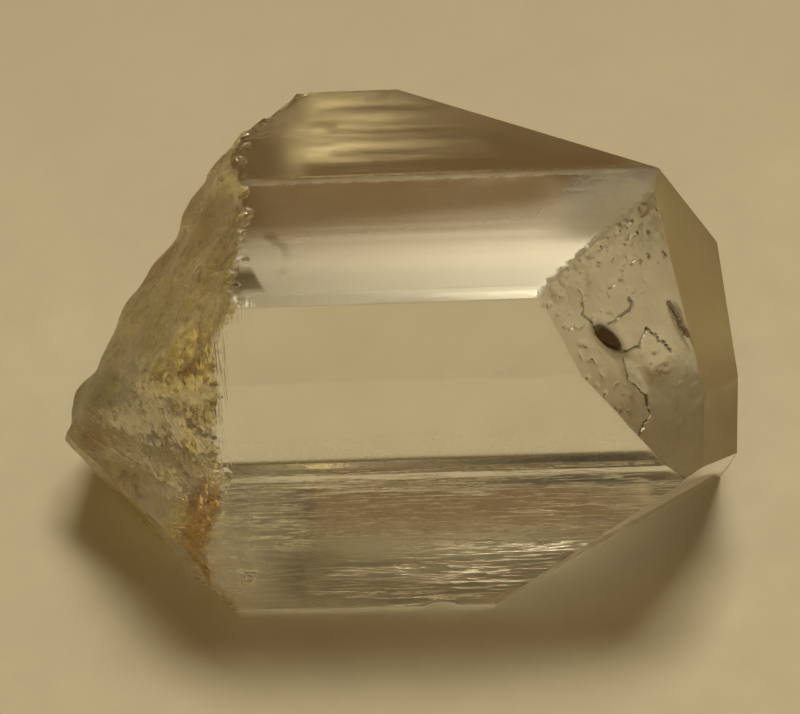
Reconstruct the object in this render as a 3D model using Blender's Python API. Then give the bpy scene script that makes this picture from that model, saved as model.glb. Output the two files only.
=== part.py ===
"""A loose topaz crystal: a long prism of lengthwise faces, an etched end made of dome faces,
and a broken base where it was snapped off.

The crystal's long axis runs along +X, from the broken base to the finished end, and the crystal
lies on one prism face. Every natural face is a flat plane, given by three plain numbers:

    lean   the angle between its outward normal and +X (90 for a prism face), in degrees
    turn   the way the normal points round the long axis, in degrees: 0 faces -Y, 90 faces up
    reach  its distance from the middle of the crystal's cross-section, in millimetres

A block is cut by those planes, one after another. The broken base is then cut into a fine net
and worked in and out along the long axis, and the etched face gets its pits and open cracks.
"""

import math
from dataclasses import dataclass

import bmesh
import bpy
from mathutils import Vector

MM = 0.001
NAME = "topaz_crystal"

# Where the middle of the cross-section lies, so that the origin is under the middle of the
# crystal's box, on the surface it rests on.
CENTRE_MM = (1.06, -0.67, 12.98)
BLOCK_MM = 120.0


@dataclass(frozen=True)
class Face:
    """One flat face: see the module's words for lean, turn and reach."""

    lean: float
    turn: float
    reach: float

    def normal(self):
        lean, turn = math.radians(self.lean), math.radians(self.turn)
        return Vector(
            (
                math.cos(lean),
                -math.sin(lean) * math.cos(turn),
                math.sin(lean) * math.sin(turn),
            )
        )


# Prism faces, round the long axis from the back slope over the top to the resting face.
BACK_SLOPE = Face(90.0, 107.9, 13.65)
TOP = Face(90.0, 89.8, 13.55)
TOP_BEVEL = Face(90.0, 85.5, 13.74)
FRONT_STRIP = Face(90.0, 80.0, 14.25)
FRONT_UPPER = Face(90.0, 27.0, 13.10)
FRONT_LOWER = Face(90.0, 14.2, 12.20)
FRONT_WALL = Face(90.0, 5.7, 12.36)
REST_FACE = Face(90.0, -90.0, 12.98)
BACK_UNDERCUT = Face(90.0, 214.3, 14.00)
BACK_WALL = Face(90.0, 195.8, 11.92)
PRISM = (
    BACK_SLOPE,
    TOP,
    TOP_BEVEL,
    FRONT_STRIP,
    FRONT_UPPER,
    FRONT_LOWER,
    FRONT_WALL,
    REST_FACE,
    BACK_UNDERCUT,
    BACK_WALL,
)

# The finished end: four blunt end faces that come together in one corner, low on the front
# side, with dome faces round them.
ETCHED_DOME = Face(54.4, 46.0, 17.70)
END_FACE = Face(24.9, 66.0, 20.58)
END_LOWER = Face(23.0, 40.7, 21.45)
END_BASE = Face(3.9, -99.8, 22.69)
END_BACK = Face(9.0, 180.0, 21.93)
BACK_DOME = Face(61.0, 155.3, 15.28)
FRONT_DOME = Face(60.8, -30.5, 18.60)
FRONT_FACET = Face(54.2, -27.0, 19.93)
FINISHED_END = (
    ETCHED_DOME,
    END_FACE,
    END_LOWER,
    END_BASE,
    END_BACK,
    BACK_DOME,
    FRONT_DOME,
    FRONT_FACET,
)

# The broken base: a blunt wedge of rough break faces that come together in one tip.
BROKEN_BASE = (
    Face(130.2, 16.3, 17.25),  # main break, towards the front
    Face(141.4, 91.0, 16.21),  # upper break
    Face(142.4, 165.8, 18.21),  # back break
    Face(134.1, -14.6, 20.38),  # low front break
    Face(133.3, -78.8, 22.18),  # undercut, down to the resting face
    Face(128.0, 138.9, 18.54),  # corner knocked off the back slope
    Face(147.8, 137.1, 17.79),  # edge between the upper and back breaks
    Face(154.5, 155.7, 20.10),  # blunt side of the tip
)


@dataclass(frozen=True)
class Hollow:
    """A soft-edged dent: where it is in its face's two directions, how wide, and how deep (mm).

    A minus depth makes a lump.
    """

    across: float
    along: float
    half_width: float
    half_length: float
    depth: float
    slant: float = 0.0

    def depth_at(self, across, along):
        slant = math.radians(self.slant)
        off_a, off_b = across - self.across, along - self.along
        a = (off_a * math.cos(slant) + off_b * math.sin(slant)) / self.half_width
        b = (off_b * math.cos(slant) - off_a * math.sin(slant)) / self.half_length
        return self.depth * math.exp(-(a * a + b * b) ** 2)


@dataclass(frozen=True)
class Ripple:
    """One set of even waves across the break: height and wavelength in mm, angles in degrees."""

    height: float
    wavelength: float
    heading: float
    phase: float

    def height_at(self, y, z):
        heading = math.radians(self.heading)
        along = y * math.cos(heading) + z * math.sin(heading)
        return self.height * math.sin(math.tau * along / self.wavelength + math.radians(self.phase))


BREAK_RIPPLES = (
    Ripple(height=0.16, wavelength=9.0, heading=20.0, phase=220.0),
    Ripple(height=0.13, wavelength=6.2, heading=75.0, phase=110.0),
    Ripple(height=0.10, wavelength=4.4, heading=130.0, phase=200.0),
    Ripple(height=0.08, wavelength=3.1, heading=50.0, phase=300.0),
)

# Dents and lumps of the broken base, by Y and Z from the middle of the cross-section.
BASE_HOLLOWS = (
    Hollow(across=-9.4, along=9.6, half_width=3.4, half_length=4.6, depth=0.65),
    Hollow(across=10.6, along=9.4, half_width=4.2, half_length=4.0, depth=1.0),
    Hollow(across=12.0, along=5.6, half_width=1.9, half_length=1.7, depth=-0.5),
    Hollow(across=7.0, along=5.0, half_width=2.4, half_length=2.2, depth=0.8),
    Hollow(across=9.4, along=2.6, half_width=2.6, half_length=2.4, depth=0.8),
    Hollow(across=5.0, along=-0.6, half_width=2.2, half_length=1.8, depth=-0.5),
    Hollow(across=3.2, along=-4.2, half_width=1.8, half_length=1.6, depth=0.7),
    Hollow(across=-0.2, along=-5.3, half_width=1.8, half_length=1.6, depth=-0.6),
    Hollow(across=-0.6, along=-8.4, half_width=2.4, half_length=1.6, depth=-0.4),
    Hollow(across=-5.0, along=-9.2, half_width=2.4, half_length=2.0, depth=0.45),
    Hollow(across=-6.6, along=-2.4, half_width=2.2, half_length=3.4, depth=0.5),
)
BREAK_NET_MM = 1.15

# Pits, open cracks and lumps of the etched dome, across and up its face from the spot on it
# that is nearest to the middle of the crystal.
ETCHED_HOLLOWS = (
    Hollow(across=4.1, along=-1.9, half_width=0.75, half_length=1.7, depth=0.8, slant=20.0),
    Hollow(across=9.3, along=-4.7, half_width=0.5, half_length=2.0, depth=0.5, slant=3.0),
    Hollow(across=4.1, along=-5.8, half_width=0.5, half_length=2.3, depth=0.4),
    Hollow(across=2.2, along=-9.9, half_width=0.5, half_length=1.6, depth=0.35, slant=10.0),
    Hollow(across=7.1, along=-4.2, half_width=0.45, half_length=1.5, depth=0.3, slant=20.0),
    Hollow(across=3.0, along=1.5, half_width=1.2, half_length=1.0, depth=-0.25),
    Hollow(across=7.4, along=1.2, half_width=1.0, half_length=0.8, depth=0.3),
)
ETCHED_NET_MM = 0.85

# The shell-shaped chip out of the bottom front edge, as a ball that is cut away.
CHIP_AT_MM = (3.0, -15.69, -0.90)
CHIP_RADIUS_MM = 2.2

SAME_SPOT_MM = 0.12


def cut_off(bm, face):
    """Cut the body by a face's plane, drop what is outside and close the cut with one face."""
    normal = face.normal()
    geometry = bm.verts[:] + bm.edges[:] + bm.faces[:]
    cut = bmesh.ops.bisect_plane(
        bm,
        geom=geometry,
        dist=1e-4 * MM,
        plane_co=normal * face.reach * MM,
        plane_no=normal,
        clear_outer=True,
    )
    rim = [item for item in cut["geom_cut"] if isinstance(item, bmesh.types.BMEdge)]
    bmesh.ops.contextual_create(bm, geom=rim)


def net(bm, chosen, direction, spacing):
    """Split the chosen faces by evenly spaced planes across a direction, and return them all."""
    points = [vert.co.dot(direction) for face in chosen for vert in face.verts]
    first = math.floor(min(points) / spacing) + 1
    last = math.ceil(max(points) / spacing)
    for step in range(first, last):
        geometry = set(chosen)
        for face in chosen:
            geometry.update(face.edges)
            geometry.update(face.verts)
        split = bmesh.ops.bisect_plane(
            bm,
            geom=list(geometry),
            dist=0.02 * MM,
            plane_co=direction * (step * spacing),
            plane_no=direction,
        )
        chosen = [item for item in split["geom"] if isinstance(item, bmesh.types.BMFace)]
    return chosen


def facing(bm, test):
    """The faces whose outward normal passes a test."""
    bm.normal_update()
    return [face for face in bm.faces if test(face.normal)]


def tidy_net(bm, chosen):
    """Join net points that nearly meet, and make the chosen faces triangles."""
    verts = list({vert for face in chosen for vert in face.verts})
    bmesh.ops.remove_doubles(bm, verts=verts, dist=SAME_SPOT_MM * MM)
    chosen = [face for face in chosen if face.is_valid]
    return bmesh.ops.triangulate(bm, faces=chosen, quad_method="SHORT_EDGE")["faces"]


def break_offset_mm(y, z):
    """How far the break stands in (+) or out (-) along the long axis at a place in the section."""
    dents = sum(hollow.depth_at(y, z) for hollow in BASE_HOLLOWS)
    return dents + sum(ripple.height_at(y, z) for ripple in BREAK_RIPPLES)


def roughen_break(bm):
    """Net the broken base and move its points along the long axis only.

    The prism faces run along that axis, so the rim of the break stays in their planes.
    """
    chosen = facing(bm, lambda normal: normal.x < -0.3)
    for direction in (Vector((0, 1, 0)), Vector((0, 0, 1))):
        chosen = net(bm, chosen, direction, BREAK_NET_MM * MM)
    chosen = tidy_net(bm, chosen)
    for vert in {vert for face in chosen for vert in face.verts}:
        vert.co.x += break_offset_mm(vert.co.y / MM, vert.co.z / MM) * MM


def etch_dome(bm):
    """Net the etched dome and sink its pits and cracks, leaving its rim where it is."""
    out = ETCHED_DOME.normal()
    across = Vector((0, 0, 1)).cross(out).normalized()
    up = out.cross(across)
    chosen = facing(bm, lambda normal: normal.dot(out) > 0.9999)
    foot = out * ETCHED_DOME.reach * MM
    for direction in (across, up):
        chosen = net(bm, chosen, direction, ETCHED_NET_MM * MM)
    chosen = tidy_net(bm, chosen)
    inside = set(chosen)
    for vert in {vert for face in chosen for vert in face.verts}:
        if all(face in inside for face in vert.link_faces):
            offset = (vert.co - foot) / MM
            place = offset.dot(across), offset.dot(up)
            sink = sum(hollow.depth_at(*place) for hollow in ETCHED_HOLLOWS)
            vert.co -= out * sink * MM


def crystal_material():
    """Clear, faintly straw-coloured topaz."""
    material = bpy.data.materials.new("topaz")
    material.use_nodes = True
    shader = material.node_tree.nodes["Principled BSDF"]
    shader.inputs["Base Color"].default_value = (0.62, 0.52, 0.33, 1.0)
    shader.inputs["Roughness"].default_value = 0.12
    shader.inputs["Metallic"].default_value = 0.0
    shader.inputs["IOR"].default_value = 1.62
    return material


def make_collection(name):
    collection = bpy.data.collections.new(name)
    bpy.context.scene.collection.children.link(collection)
    return collection


def make_object(bm, name, collection):
    """Put a finished bmesh into a named object, placed by its location."""
    bmesh.ops.recalc_face_normals(bm, faces=bm.faces)
    mesh = bpy.data.meshes.new(name)
    bm.to_mesh(mesh)
    bm.free()
    obj = bpy.data.objects.new(name, mesh)
    obj.location = Vector(CENTRE_MM) * MM
    collection.objects.link(obj)
    return obj


def make_crystal(collection):
    """The whole crystal as one closed body."""
    bm = bmesh.new()
    bmesh.ops.create_cube(bm, size=BLOCK_MM * MM)
    for face in PRISM + FINISHED_END + BROKEN_BASE:
        cut_off(bm, face)
    roughen_break(bm)
    etch_dome(bm)
    crystal = make_object(bm, NAME, collection)
    crystal.data.materials.append(crystal_material())
    return crystal


def make_chip_cutter(collection):
    """The ball that takes the chip out of the bottom front edge."""
    bm = bmesh.new()
    bmesh.ops.create_icosphere(bm, subdivisions=3, radius=CHIP_RADIUS_MM * MM)
    bmesh.ops.translate(bm, verts=bm.verts, vec=(Vector(CHIP_AT_MM) - Vector(CENTRE_MM)) * MM)
    cutter = make_object(bm, "chip_cutter", collection)
    cutter.hide_render = True
    cutter.display_type = "WIRE"
    return cutter


def chip_edge(crystal, cutter):
    """Take the chip out of the crystal with a Boolean that stays on it."""
    cut = crystal.modifiers.new("edge_chip", "BOOLEAN")
    cut.operation = "DIFFERENCE"
    cut.object = cutter


def main():
    for obj in list(bpy.data.objects):
        bpy.data.objects.remove(obj)
    crystal = make_crystal(make_collection(NAME))
    chip_edge(crystal, make_chip_cutter(make_collection("cutters")))


main()
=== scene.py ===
"""The looks of a loose topaz crystal: a clear, straw-tinted prism with lengthwise growth lines, a
frosted, cracked dome face at its finished end, and a rough, iron-stained break at its base.

Every natural face is a flat surface of two parameters, across and along, that is cut by its
neighbours. Its place is given by three plain numbers, in degrees and millimetres:

    lean   the angle between its outward normal and the long axis, +X (90 for a prism face)
    turn   the way the normal points round the long axis: 0 faces -Y, 90 faces up
    reach  its distance from the middle of the crystal's cross-section

Lengths are in millimetres until a mesh or an object takes them in metres.
"""

import itertools
import logging
import math
from collections.abc import Callable, Iterator
from dataclasses import dataclass
from enum import Enum
from typing import Any

import bpy
import numpy as np
from mathutils import Matrix, Vector, geometry


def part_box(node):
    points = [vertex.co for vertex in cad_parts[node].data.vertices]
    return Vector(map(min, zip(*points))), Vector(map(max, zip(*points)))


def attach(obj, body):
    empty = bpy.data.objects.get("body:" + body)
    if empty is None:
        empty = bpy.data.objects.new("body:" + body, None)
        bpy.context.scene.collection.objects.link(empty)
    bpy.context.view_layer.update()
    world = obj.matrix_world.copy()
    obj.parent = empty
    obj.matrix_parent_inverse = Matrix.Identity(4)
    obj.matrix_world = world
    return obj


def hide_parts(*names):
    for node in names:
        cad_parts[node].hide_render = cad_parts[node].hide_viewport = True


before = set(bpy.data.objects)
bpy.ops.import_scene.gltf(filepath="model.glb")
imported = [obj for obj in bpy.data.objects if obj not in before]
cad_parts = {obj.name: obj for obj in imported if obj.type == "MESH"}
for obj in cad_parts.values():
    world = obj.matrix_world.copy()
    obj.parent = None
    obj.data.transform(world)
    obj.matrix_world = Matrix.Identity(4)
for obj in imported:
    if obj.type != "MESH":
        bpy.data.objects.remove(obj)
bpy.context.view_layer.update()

LOG = logging.getLogger("topaz")

MM = 0.001
NODE = "topaz_crystal"
BODY = "root"
PIECE_NAME = "topaz_crystal_dressed"

Array = np.ndarray
Socket = bpy.types.NodeSocket
Path = tuple[tuple[float, float], ...]
Triple = tuple[float, float, float]
Colour = tuple[float, float, float, float]


# ---- Shapes as whole arrays ----


def ramp(value: Array, low: float, high: float) -> Array:
    """A soft step from 0 at low to 1 at high: 3t^2 - 2t^3 of the share t of the way.

    Args:
        value: where to read the step.
        low: the value at which it leaves 0.
        high: the value at which it reaches 1.

    Returns:
        The step, from 0 to 1, in the shape of value.
    """
    share = np.clip((value - low) / (high - low), 0.0, 1.0)
    return share * share * (3.0 - 2.0 * share)


def ramp_area(value: Array, low: float, high: float) -> Array:
    """The area under ramp() from low up to value: the depth that a slope of 1 would reach.

    Args:
        value: how far to go.
        low: the value at which the ramp leaves 0.
        high: the value at which it reaches 1.

    Returns:
        The area: w(t^3 - t^4 / 2) of the ramp's width w and the share t, and 1 for 1 past it.
    """
    width = high - low
    share = np.clip((value - low) / width, 0.0, 1.0)
    return width * (share**3 - 0.5 * share**4) + np.maximum(value - high, 0.0)


def lattice_height(column: Array, row: Array, seed: int) -> Array:
    """A fixed random height at each whole-number pair, by mixing the pair's bits.

    Args:
        column: the pair's first number.
        row: the pair's second number.
        seed: which set of heights.

    Returns:
        Heights from -1 to 1.
    """
    mixed = (column.astype(np.int64) * 73856093) ^ (row.astype(np.int64) * 19349663) ^ (seed * 83492791)
    mixed = (mixed ^ (mixed >> 13)) & 0x7FFFFFFF
    mixed = (mixed * 1274126177) & 0x7FFFFFFF
    mixed = (mixed ^ (mixed >> 15)) & 0xFFFF
    return mixed / 32767.5 - 1.0


def hills(u: Array, v: Array, seed: int) -> Array:
    """Soft random hills: lattice heights joined by soft ramps in both directions.

    Args:
        u: first coordinate, one hill per unit.
        v: second coordinate, one hill per unit.
        seed: which set of hills.

    Returns:
        Heights from -1 to 1.
    """
    left, low = np.floor(u), np.floor(v)
    over = ramp(u - left, 0.0, 1.0)
    up = ramp(v - low, 0.0, 1.0)
    near = lattice_height(left, low, seed) * (1 - over) + lattice_height(left + 1, low, seed) * over
    far = lattice_height(left, low + 1, seed) * (1 - over) + lattice_height(left + 1, low + 1, seed) * over
    return near * (1 - up) + far * up


def rough_hills(u: Array, v: Array, seed: int, layers: int = 4) -> Array:
    """Hills on hills: each layer is twice as fine and half as high as the one before.

    Args:
        u: first coordinate, one of the broadest hills per unit.
        v: second coordinate, one of the broadest hills per unit.
        seed: which set of hills.
        layers: how many layers.

    Returns:
        Heights, between -2 and 2.
    """
    total = np.zeros_like(u)
    for layer in range(layers):
        scale = 2.0**layer
        total += hills(u * scale + 17.3 * layer, v * scale - 9.1 * layer, seed + layer) / scale
    return total


def distance_to_path(u: Array, v: Array, path: Path) -> Array:
    """The distance from each place to a path of straight runs: the least over its runs.

    Args:
        u: the places' first coordinate.
        v: the places' second coordinate.
        path: the path's corners.

    Returns:
        The distances.
    """
    nearest = np.full(u.shape, np.inf)
    for (u0, v0), (u1, v1) in itertools.pairwise(path):
        run_u, run_v = u1 - u0, v1 - v0
        share = ((u - u0) * run_u + (v - v0) * run_v) / (run_u**2 + run_v**2)
        share = np.clip(share, 0.0, 1.0)
        nearest = np.minimum(nearest, np.hypot(u - u0 - share * run_u, v - v0 - share * run_v))
    return nearest


def round_pairs(ring: list[int]) -> list[tuple[int, int]]:
    """Each member of a ring with the next one, the last with the first."""
    return list(zip(ring, ring[1:] + ring[:1]))


@dataclass(frozen=True)
class Oval:
    """An oval patch of a surface: a dent or a lump in it, or a stain on it.

    Attributes:
        across: its middle, in the surface's first direction.
        along: its middle, in the surface's second direction.
        half_width: its half size across.
        half_length: its half size along.
        amount: its depth in mm, minus for a lump, or its strength.
        slant: how far it is turned from the second direction, in degrees.
    """

    across: float
    along: float
    half_width: float
    half_length: float
    amount: float
    slant: float = 0.0

    def _off(self, across: Array, along: Array) -> Array:
        """The squared distance from its middle, with its own half sizes as units.

        Args:
            across: places in the surface.
            along: the same places.

        Returns:
            The squares a^2 + b^2.
        """
        slant = math.radians(self.slant)
        off_a, off_b = across - self.across, along - self.along
        a = (off_a * math.cos(slant) + off_b * math.sin(slant)) / self.half_width
        b = (off_b * math.cos(slant) - off_a * math.sin(slant)) / self.half_length
        return a * a + b * b

    def dent(self, across: Array, along: Array) -> Array:
        """Its depth at places, with a flat floor and steep sides: amount * exp(-off^2)."""
        return self.amount * np.exp(-(self._off(across, along) ** 2))

    def stain(self, across: Array, along: Array) -> Array:
        """Its strength at places, soft all round: amount * exp(-off)."""
        return self.amount * np.exp(-self._off(across, along))


def all_dents(ovals: tuple[Oval, ...], across: Array, along: Array) -> Array:
    """The depths of several dents and lumps together."""
    return sum(oval.dent(across, along) for oval in ovals)


def all_stains(ovals: tuple[Oval, ...], across: Array, along: Array) -> Array:
    """The strengths of several stains together."""
    return sum(oval.stain(across, along) for oval in ovals)


@dataclass(frozen=True)
class Growth:
    """Growth lines along a lengthwise face: hills drawn out along the axis.

    Attributes:
        depth: how deep they go, in mm.
        width: how wide one is, in mm.
        length: how long one is, in mm.
    """

    depth: float
    width: float
    length: float

    def lines(self, across: Array, along: Array, seed: int) -> Array:
        """The lines from -1 to 1, one hill to each width and length."""
        return hills(across / self.width, along / self.length, seed)


@dataclass(frozen=True)
class Ripple:
    """One set of even waves across the break.

    Attributes:
        height: how high its crests are, in mm.
        wavelength: the way from crest to crest, in mm.
        heading: the way it travels, from Y towards Z in degrees.
        phase: where it starts, in degrees.
    """

    height: float
    wavelength: float
    heading: float
    phase: float

    def height_at(self, y: Array, z: Array) -> Array:
        """The wave's height: height times the sine of the turns travelled along its heading."""
        heading = math.radians(self.heading)
        along = y * math.cos(heading) + z * math.sin(heading)
        return self.height * np.sin(math.tau * along / self.wavelength + math.radians(self.phase))


# ---- The natural faces ----


class FaceKind(Enum):
    """What a face is, which sets its net and its relief."""

    PRISM = "lengthwise face with growth lines"
    ETCHED = "etched dome face"
    DOME = "lustrous end face"
    BREAK = "broken base"
    WORN_EDGE = "narrow worn edge"


# The spacing of the nets across and along each kind of face, and the finest spacing of all.
NET_STEPS_MM = {
    FaceKind.PRISM: (0.14, 0.60),
    FaceKind.ETCHED: (0.10, 0.10),
    FaceKind.DOME: (0.32, 0.32),
    FaceKind.BREAK: (0.17, 0.17),
    FaceKind.WORN_EDGE: (0.25, 0.45),
}
FINE_STEP_MM = 0.13

# A hidden face takes a coarser net, and a strongly grooved one a finer net.
HIDDEN_COARSER = 1.6
GROOVED_GROWTH = 2.0
GROOVED_FINER = (0.8, 0.6)


@dataclass(frozen=True)
class CrystalFace:
    """One flat natural face.

    Attributes:
        name: what a collector would call it.
        kind: what sort of face it is.
        lean: see the module's words.
        turn: see the module's words.
        reach: see the module's words.
        growth: how strong its growth lines are, 1 for the usual fine lines.
        hidden: true for a face that is away from the light, which takes a coarser net.
    """

    name: str
    kind: FaceKind
    lean: float
    turn: float
    reach: float
    growth: float = 1.0
    hidden: bool = False

    def normal(self) -> Array:
        """Its outward normal."""
        lean, turn = math.radians(self.lean), math.radians(self.turn)
        return np.array(
            (math.cos(lean), -math.sin(lean) * math.cos(turn), math.sin(lean) * math.sin(turn))
        )

    def axes(self) -> tuple[Array, Array]:
        """Its two directions, across and along, which turn into its normal right-handed.

        Returns:
            The directions, each of length one.
        """
        out = self.normal()
        if self.kind in (FaceKind.PRISM, FaceKind.WORN_EDGE):
            axis = np.array((1.0, 0.0, 0.0))
            along = axis - out * (axis @ out)
            along /= np.linalg.norm(along)
            return np.cross(along, out), along
        across = np.cross((0.0, 0.0, 1.0), out)
        across /= np.linalg.norm(across)
        return across, np.cross(out, across)

    def steps(self) -> tuple[float, float]:
        """The spacing of its net across and along, in mm.

        Returns:
            The two spacings.
        """
        across, along = NET_STEPS_MM[self.kind]
        if self.growth > GROOVED_GROWTH:
            return across * GROOVED_FINER[0], along * GROOVED_FINER[1]
        coarser = HIDDEN_COARSER if self.hidden else 1.0
        return across * coarser, along * coarser


def angled_face(name: str, kind: FaceKind, out: Array, reach: float) -> CrystalFace:
    """A face from its outward normal: lean and turn worked out from the normal's parts.

    Args:
        name: the face's name.
        kind: what sort of face it is.
        out: its outward normal, of length one.
        reach: its distance from the middle.

    Returns:
        The face.
    """
    lean = math.degrees(math.acos(out[0]))
    turn = math.degrees(math.atan2(out[2], -out[1]))
    return CrystalFace(name, kind, lean, turn, reach)


def worn_edge(first: CrystalFace, second: CrystalFace, width: float) -> CrystalFace:
    """The narrow flat that wear leaves where two faces meet.

    It faces half way between them. For a flat of that width its plane lies
    width / 2 * tan(half the angle between their normals) inside their shared edge.

    Args:
        first: one face.
        second: its neighbour.
        width: the flat's width in mm.

    Returns:
        The flat as a face.
    """
    one, two = first.normal(), second.normal()
    between = (one + two) / np.linalg.norm(one + two)
    half_angle = 0.5 * math.acos(float(np.clip(one @ two, -1.0, 1.0)))
    on_edge = np.linalg.lstsq(np.array((one, two)), np.array((first.reach, second.reach)), rcond=None)[0]
    reach = float(between @ on_edge) - 0.5 * width * math.tan(half_angle)
    return angled_face(f"{first.name}/{second.name}", FaceKind.WORN_EDGE, between, reach)


def rounded_edge(
    first: CrystalFace, second: CrystalFace, half_width: float, count: int
) -> tuple[CrystalFace, ...]:
    """Flats along an arc that joins two faces smoothly.

    The arc's radius is half_width / tan(half the angle between the normals), and its middle is
    as far inside both faces as that radius. Each flat touches the arc.

    Args:
        first: one face.
        second: its neighbour.
        half_width: how far from the shared edge the arc starts, in mm.
        count: how many flats.

    Returns:
        The flats as faces, from the first face to the second.
    """
    one, two = first.normal(), second.normal()
    half_angle = 0.5 * math.acos(float(np.clip(one @ two, -1.0, 1.0)))
    radius = half_width / math.tan(half_angle)
    inside = np.array((first.reach - radius, second.reach - radius))
    middle = np.linalg.lstsq(np.array((one, two)), inside, rcond=None)[0]
    flats: list[CrystalFace] = []
    for step in range(1, count + 1):
        out = one + (two - one) * (step / (count + 1))
        out /= np.linalg.norm(out)
        name = f"{first.name}/{second.name} {step}"
        flats.append(angled_face(name, FaceKind.PRISM, out, float(out @ middle) + radius))
    return tuple(flats)


BACK_SLOPE = CrystalFace("back slope", FaceKind.PRISM, 90.0, 107.9, 13.65, growth=0.7)
TOP = CrystalFace("top", FaceKind.PRISM, 90.0, 89.8, 13.55, growth=0.8)
TOP_BEVEL = CrystalFace("top bevel", FaceKind.PRISM, 90.0, 85.5, 13.74, growth=0.2)
FRONT_STRIP = CrystalFace("front strip", FaceKind.PRISM, 90.0, 80.0, 14.25, growth=0.4)
FRONT_UPPER = CrystalFace("front upper", FaceKind.PRISM, 90.0, 27.0, 13.10, growth=0.25)
FRONT_LOWER = CrystalFace("front lower", FaceKind.PRISM, 90.0, 14.2, 12.20, growth=0.25)
FRONT_WALL = CrystalFace("front wall", FaceKind.PRISM, 90.0, 5.7, 12.36, growth=2.4)
REST_FACE = CrystalFace("rest face", FaceKind.PRISM, 90.0, -90.0, 12.98, growth=0.6, hidden=True)
BACK_UNDERCUT = CrystalFace("back undercut", FaceKind.PRISM, 90.0, 214.3, 14.00, hidden=True)
BACK_WALL = CrystalFace("back wall", FaceKind.PRISM, 90.0, 195.8, 11.92, growth=0.8, hidden=True)
OPEN_PRISM = (BACK_SLOPE, TOP, TOP_BEVEL, FRONT_STRIP, FRONT_UPPER, FRONT_LOWER, FRONT_WALL)
HIDDEN_PRISM = (REST_FACE, BACK_UNDERCUT, BACK_WALL)
PRISM = OPEN_PRISM + HIDDEN_PRISM

ETCHED_DOME = CrystalFace("etched dome", FaceKind.ETCHED, 54.4, 46.0, 17.70)
END_FACE = CrystalFace("end face", FaceKind.DOME, 24.9, 66.0, 20.58)
END_LOWER = CrystalFace("end lower", FaceKind.DOME, 23.0, 40.7, 21.45)
END_BASE = CrystalFace("end base", FaceKind.DOME, 3.9, -99.8, 22.69, hidden=True)
END_BACK = CrystalFace("end back", FaceKind.DOME, 9.0, 180.0, 21.93, hidden=True)
BACK_DOME = CrystalFace("back dome", FaceKind.DOME, 61.0, 155.3, 15.28, hidden=True)
FRONT_DOME = CrystalFace("front dome", FaceKind.DOME, 60.8, -30.5, 18.60)
FRONT_FACET = CrystalFace("front facet", FaceKind.DOME, 54.2, -27.0, 19.93)
FINISHED_END = (ETCHED_DOME, END_FACE, END_LOWER, END_BASE, END_BACK, BACK_DOME, FRONT_DOME, FRONT_FACET)

BROKEN_BASE = (
    CrystalFace("main break", FaceKind.BREAK, 130.2, 16.3, 17.25),
    CrystalFace("upper break", FaceKind.BREAK, 141.4, 91.0, 16.21),
    CrystalFace("back break", FaceKind.BREAK, 142.4, 165.8, 18.21),
    CrystalFace("low front break", FaceKind.BREAK, 134.1, -14.6, 20.38),
    CrystalFace("undercut break", FaceKind.BREAK, 133.3, -78.8, 22.18),
    CrystalFace("knocked back corner", FaceKind.BREAK, 128.0, 138.9, 18.54),
    CrystalFace("break edge", FaceKind.BREAK, 147.8, 137.1, 17.79),
    CrystalFace("blunt tip", FaceKind.BREAK, 154.5, 155.7, 20.10),
)

# The narrow flats that wear left on the edges, with their widths.
CREST = worn_edge(BACK_SLOPE, TOP, 0.14)
FOOT_EDGE = worn_edge(FRONT_WALL, REST_FACE, 0.55)
WORN_EDGES = (
    CREST,
    FOOT_EDGE,
    worn_edge(TOP_BEVEL, FRONT_STRIP, 0.08),
    worn_edge(FRONT_STRIP, FRONT_UPPER, 0.10),
    worn_edge(FRONT_LOWER, FRONT_WALL, 0.10),
    worn_edge(BACK_WALL, BACK_SLOPE, 0.16),
    worn_edge(ETCHED_DOME, END_FACE, 0.14),
    worn_edge(ETCHED_DOME, END_LOWER, 0.14),
    worn_edge(ETCHED_DOME, FRONT_WALL, 0.14),
    worn_edge(ETCHED_DOME, FRONT_UPPER, 0.12),
    worn_edge(ETCHED_DOME, FRONT_LOWER, 0.12),
)

# The rounding between the top and its bevel. Places higher than the level are on the top, and
# places as far below the middle are on the rest face.
SOFT_TOP = rounded_edge(TOP, TOP_BEVEL, 1.6, 5)
TOP_LEVEL_MM = 12.9

ALL_FACES = PRISM + FINISHED_END + BROKEN_BASE + WORN_EDGES + SOFT_TOP


# ---- Relief: the break, the etched dome and the chips ----

BREAK_RIPPLES = (
    Ripple(height=0.16, wavelength=9.0, heading=20.0, phase=220.0),
    Ripple(height=0.13, wavelength=6.2, heading=75.0, phase=110.0),
    Ripple(height=0.10, wavelength=4.4, heading=130.0, phase=200.0),
    Ripple(height=0.08, wavelength=3.1, heading=50.0, phase=300.0),
)

# Dents and lumps of the broken base, by Y and Z from the middle of the cross-section.
BASE_DENTS = (
    Oval(-9.4, 9.6, 3.4, 4.6, 0.65),
    Oval(10.6, 9.4, 4.2, 4.0, 1.0),
    Oval(12.0, 5.6, 1.9, 1.7, -0.5),
    Oval(7.0, 5.0, 2.4, 2.2, 0.8),
    Oval(9.4, 2.6, 2.6, 2.4, 0.8),
    Oval(5.0, -0.6, 2.2, 1.8, -0.5),
    Oval(3.2, -4.2, 1.8, 1.6, 0.7),
    Oval(-0.2, -5.3, 1.8, 1.6, -0.6),
    Oval(-0.6, -8.4, 2.4, 1.6, -0.4),
    Oval(-5.0, -9.2, 2.4, 2.0, 0.45),
    Oval(-6.6, -2.4, 2.2, 3.4, 0.5),
)

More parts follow.
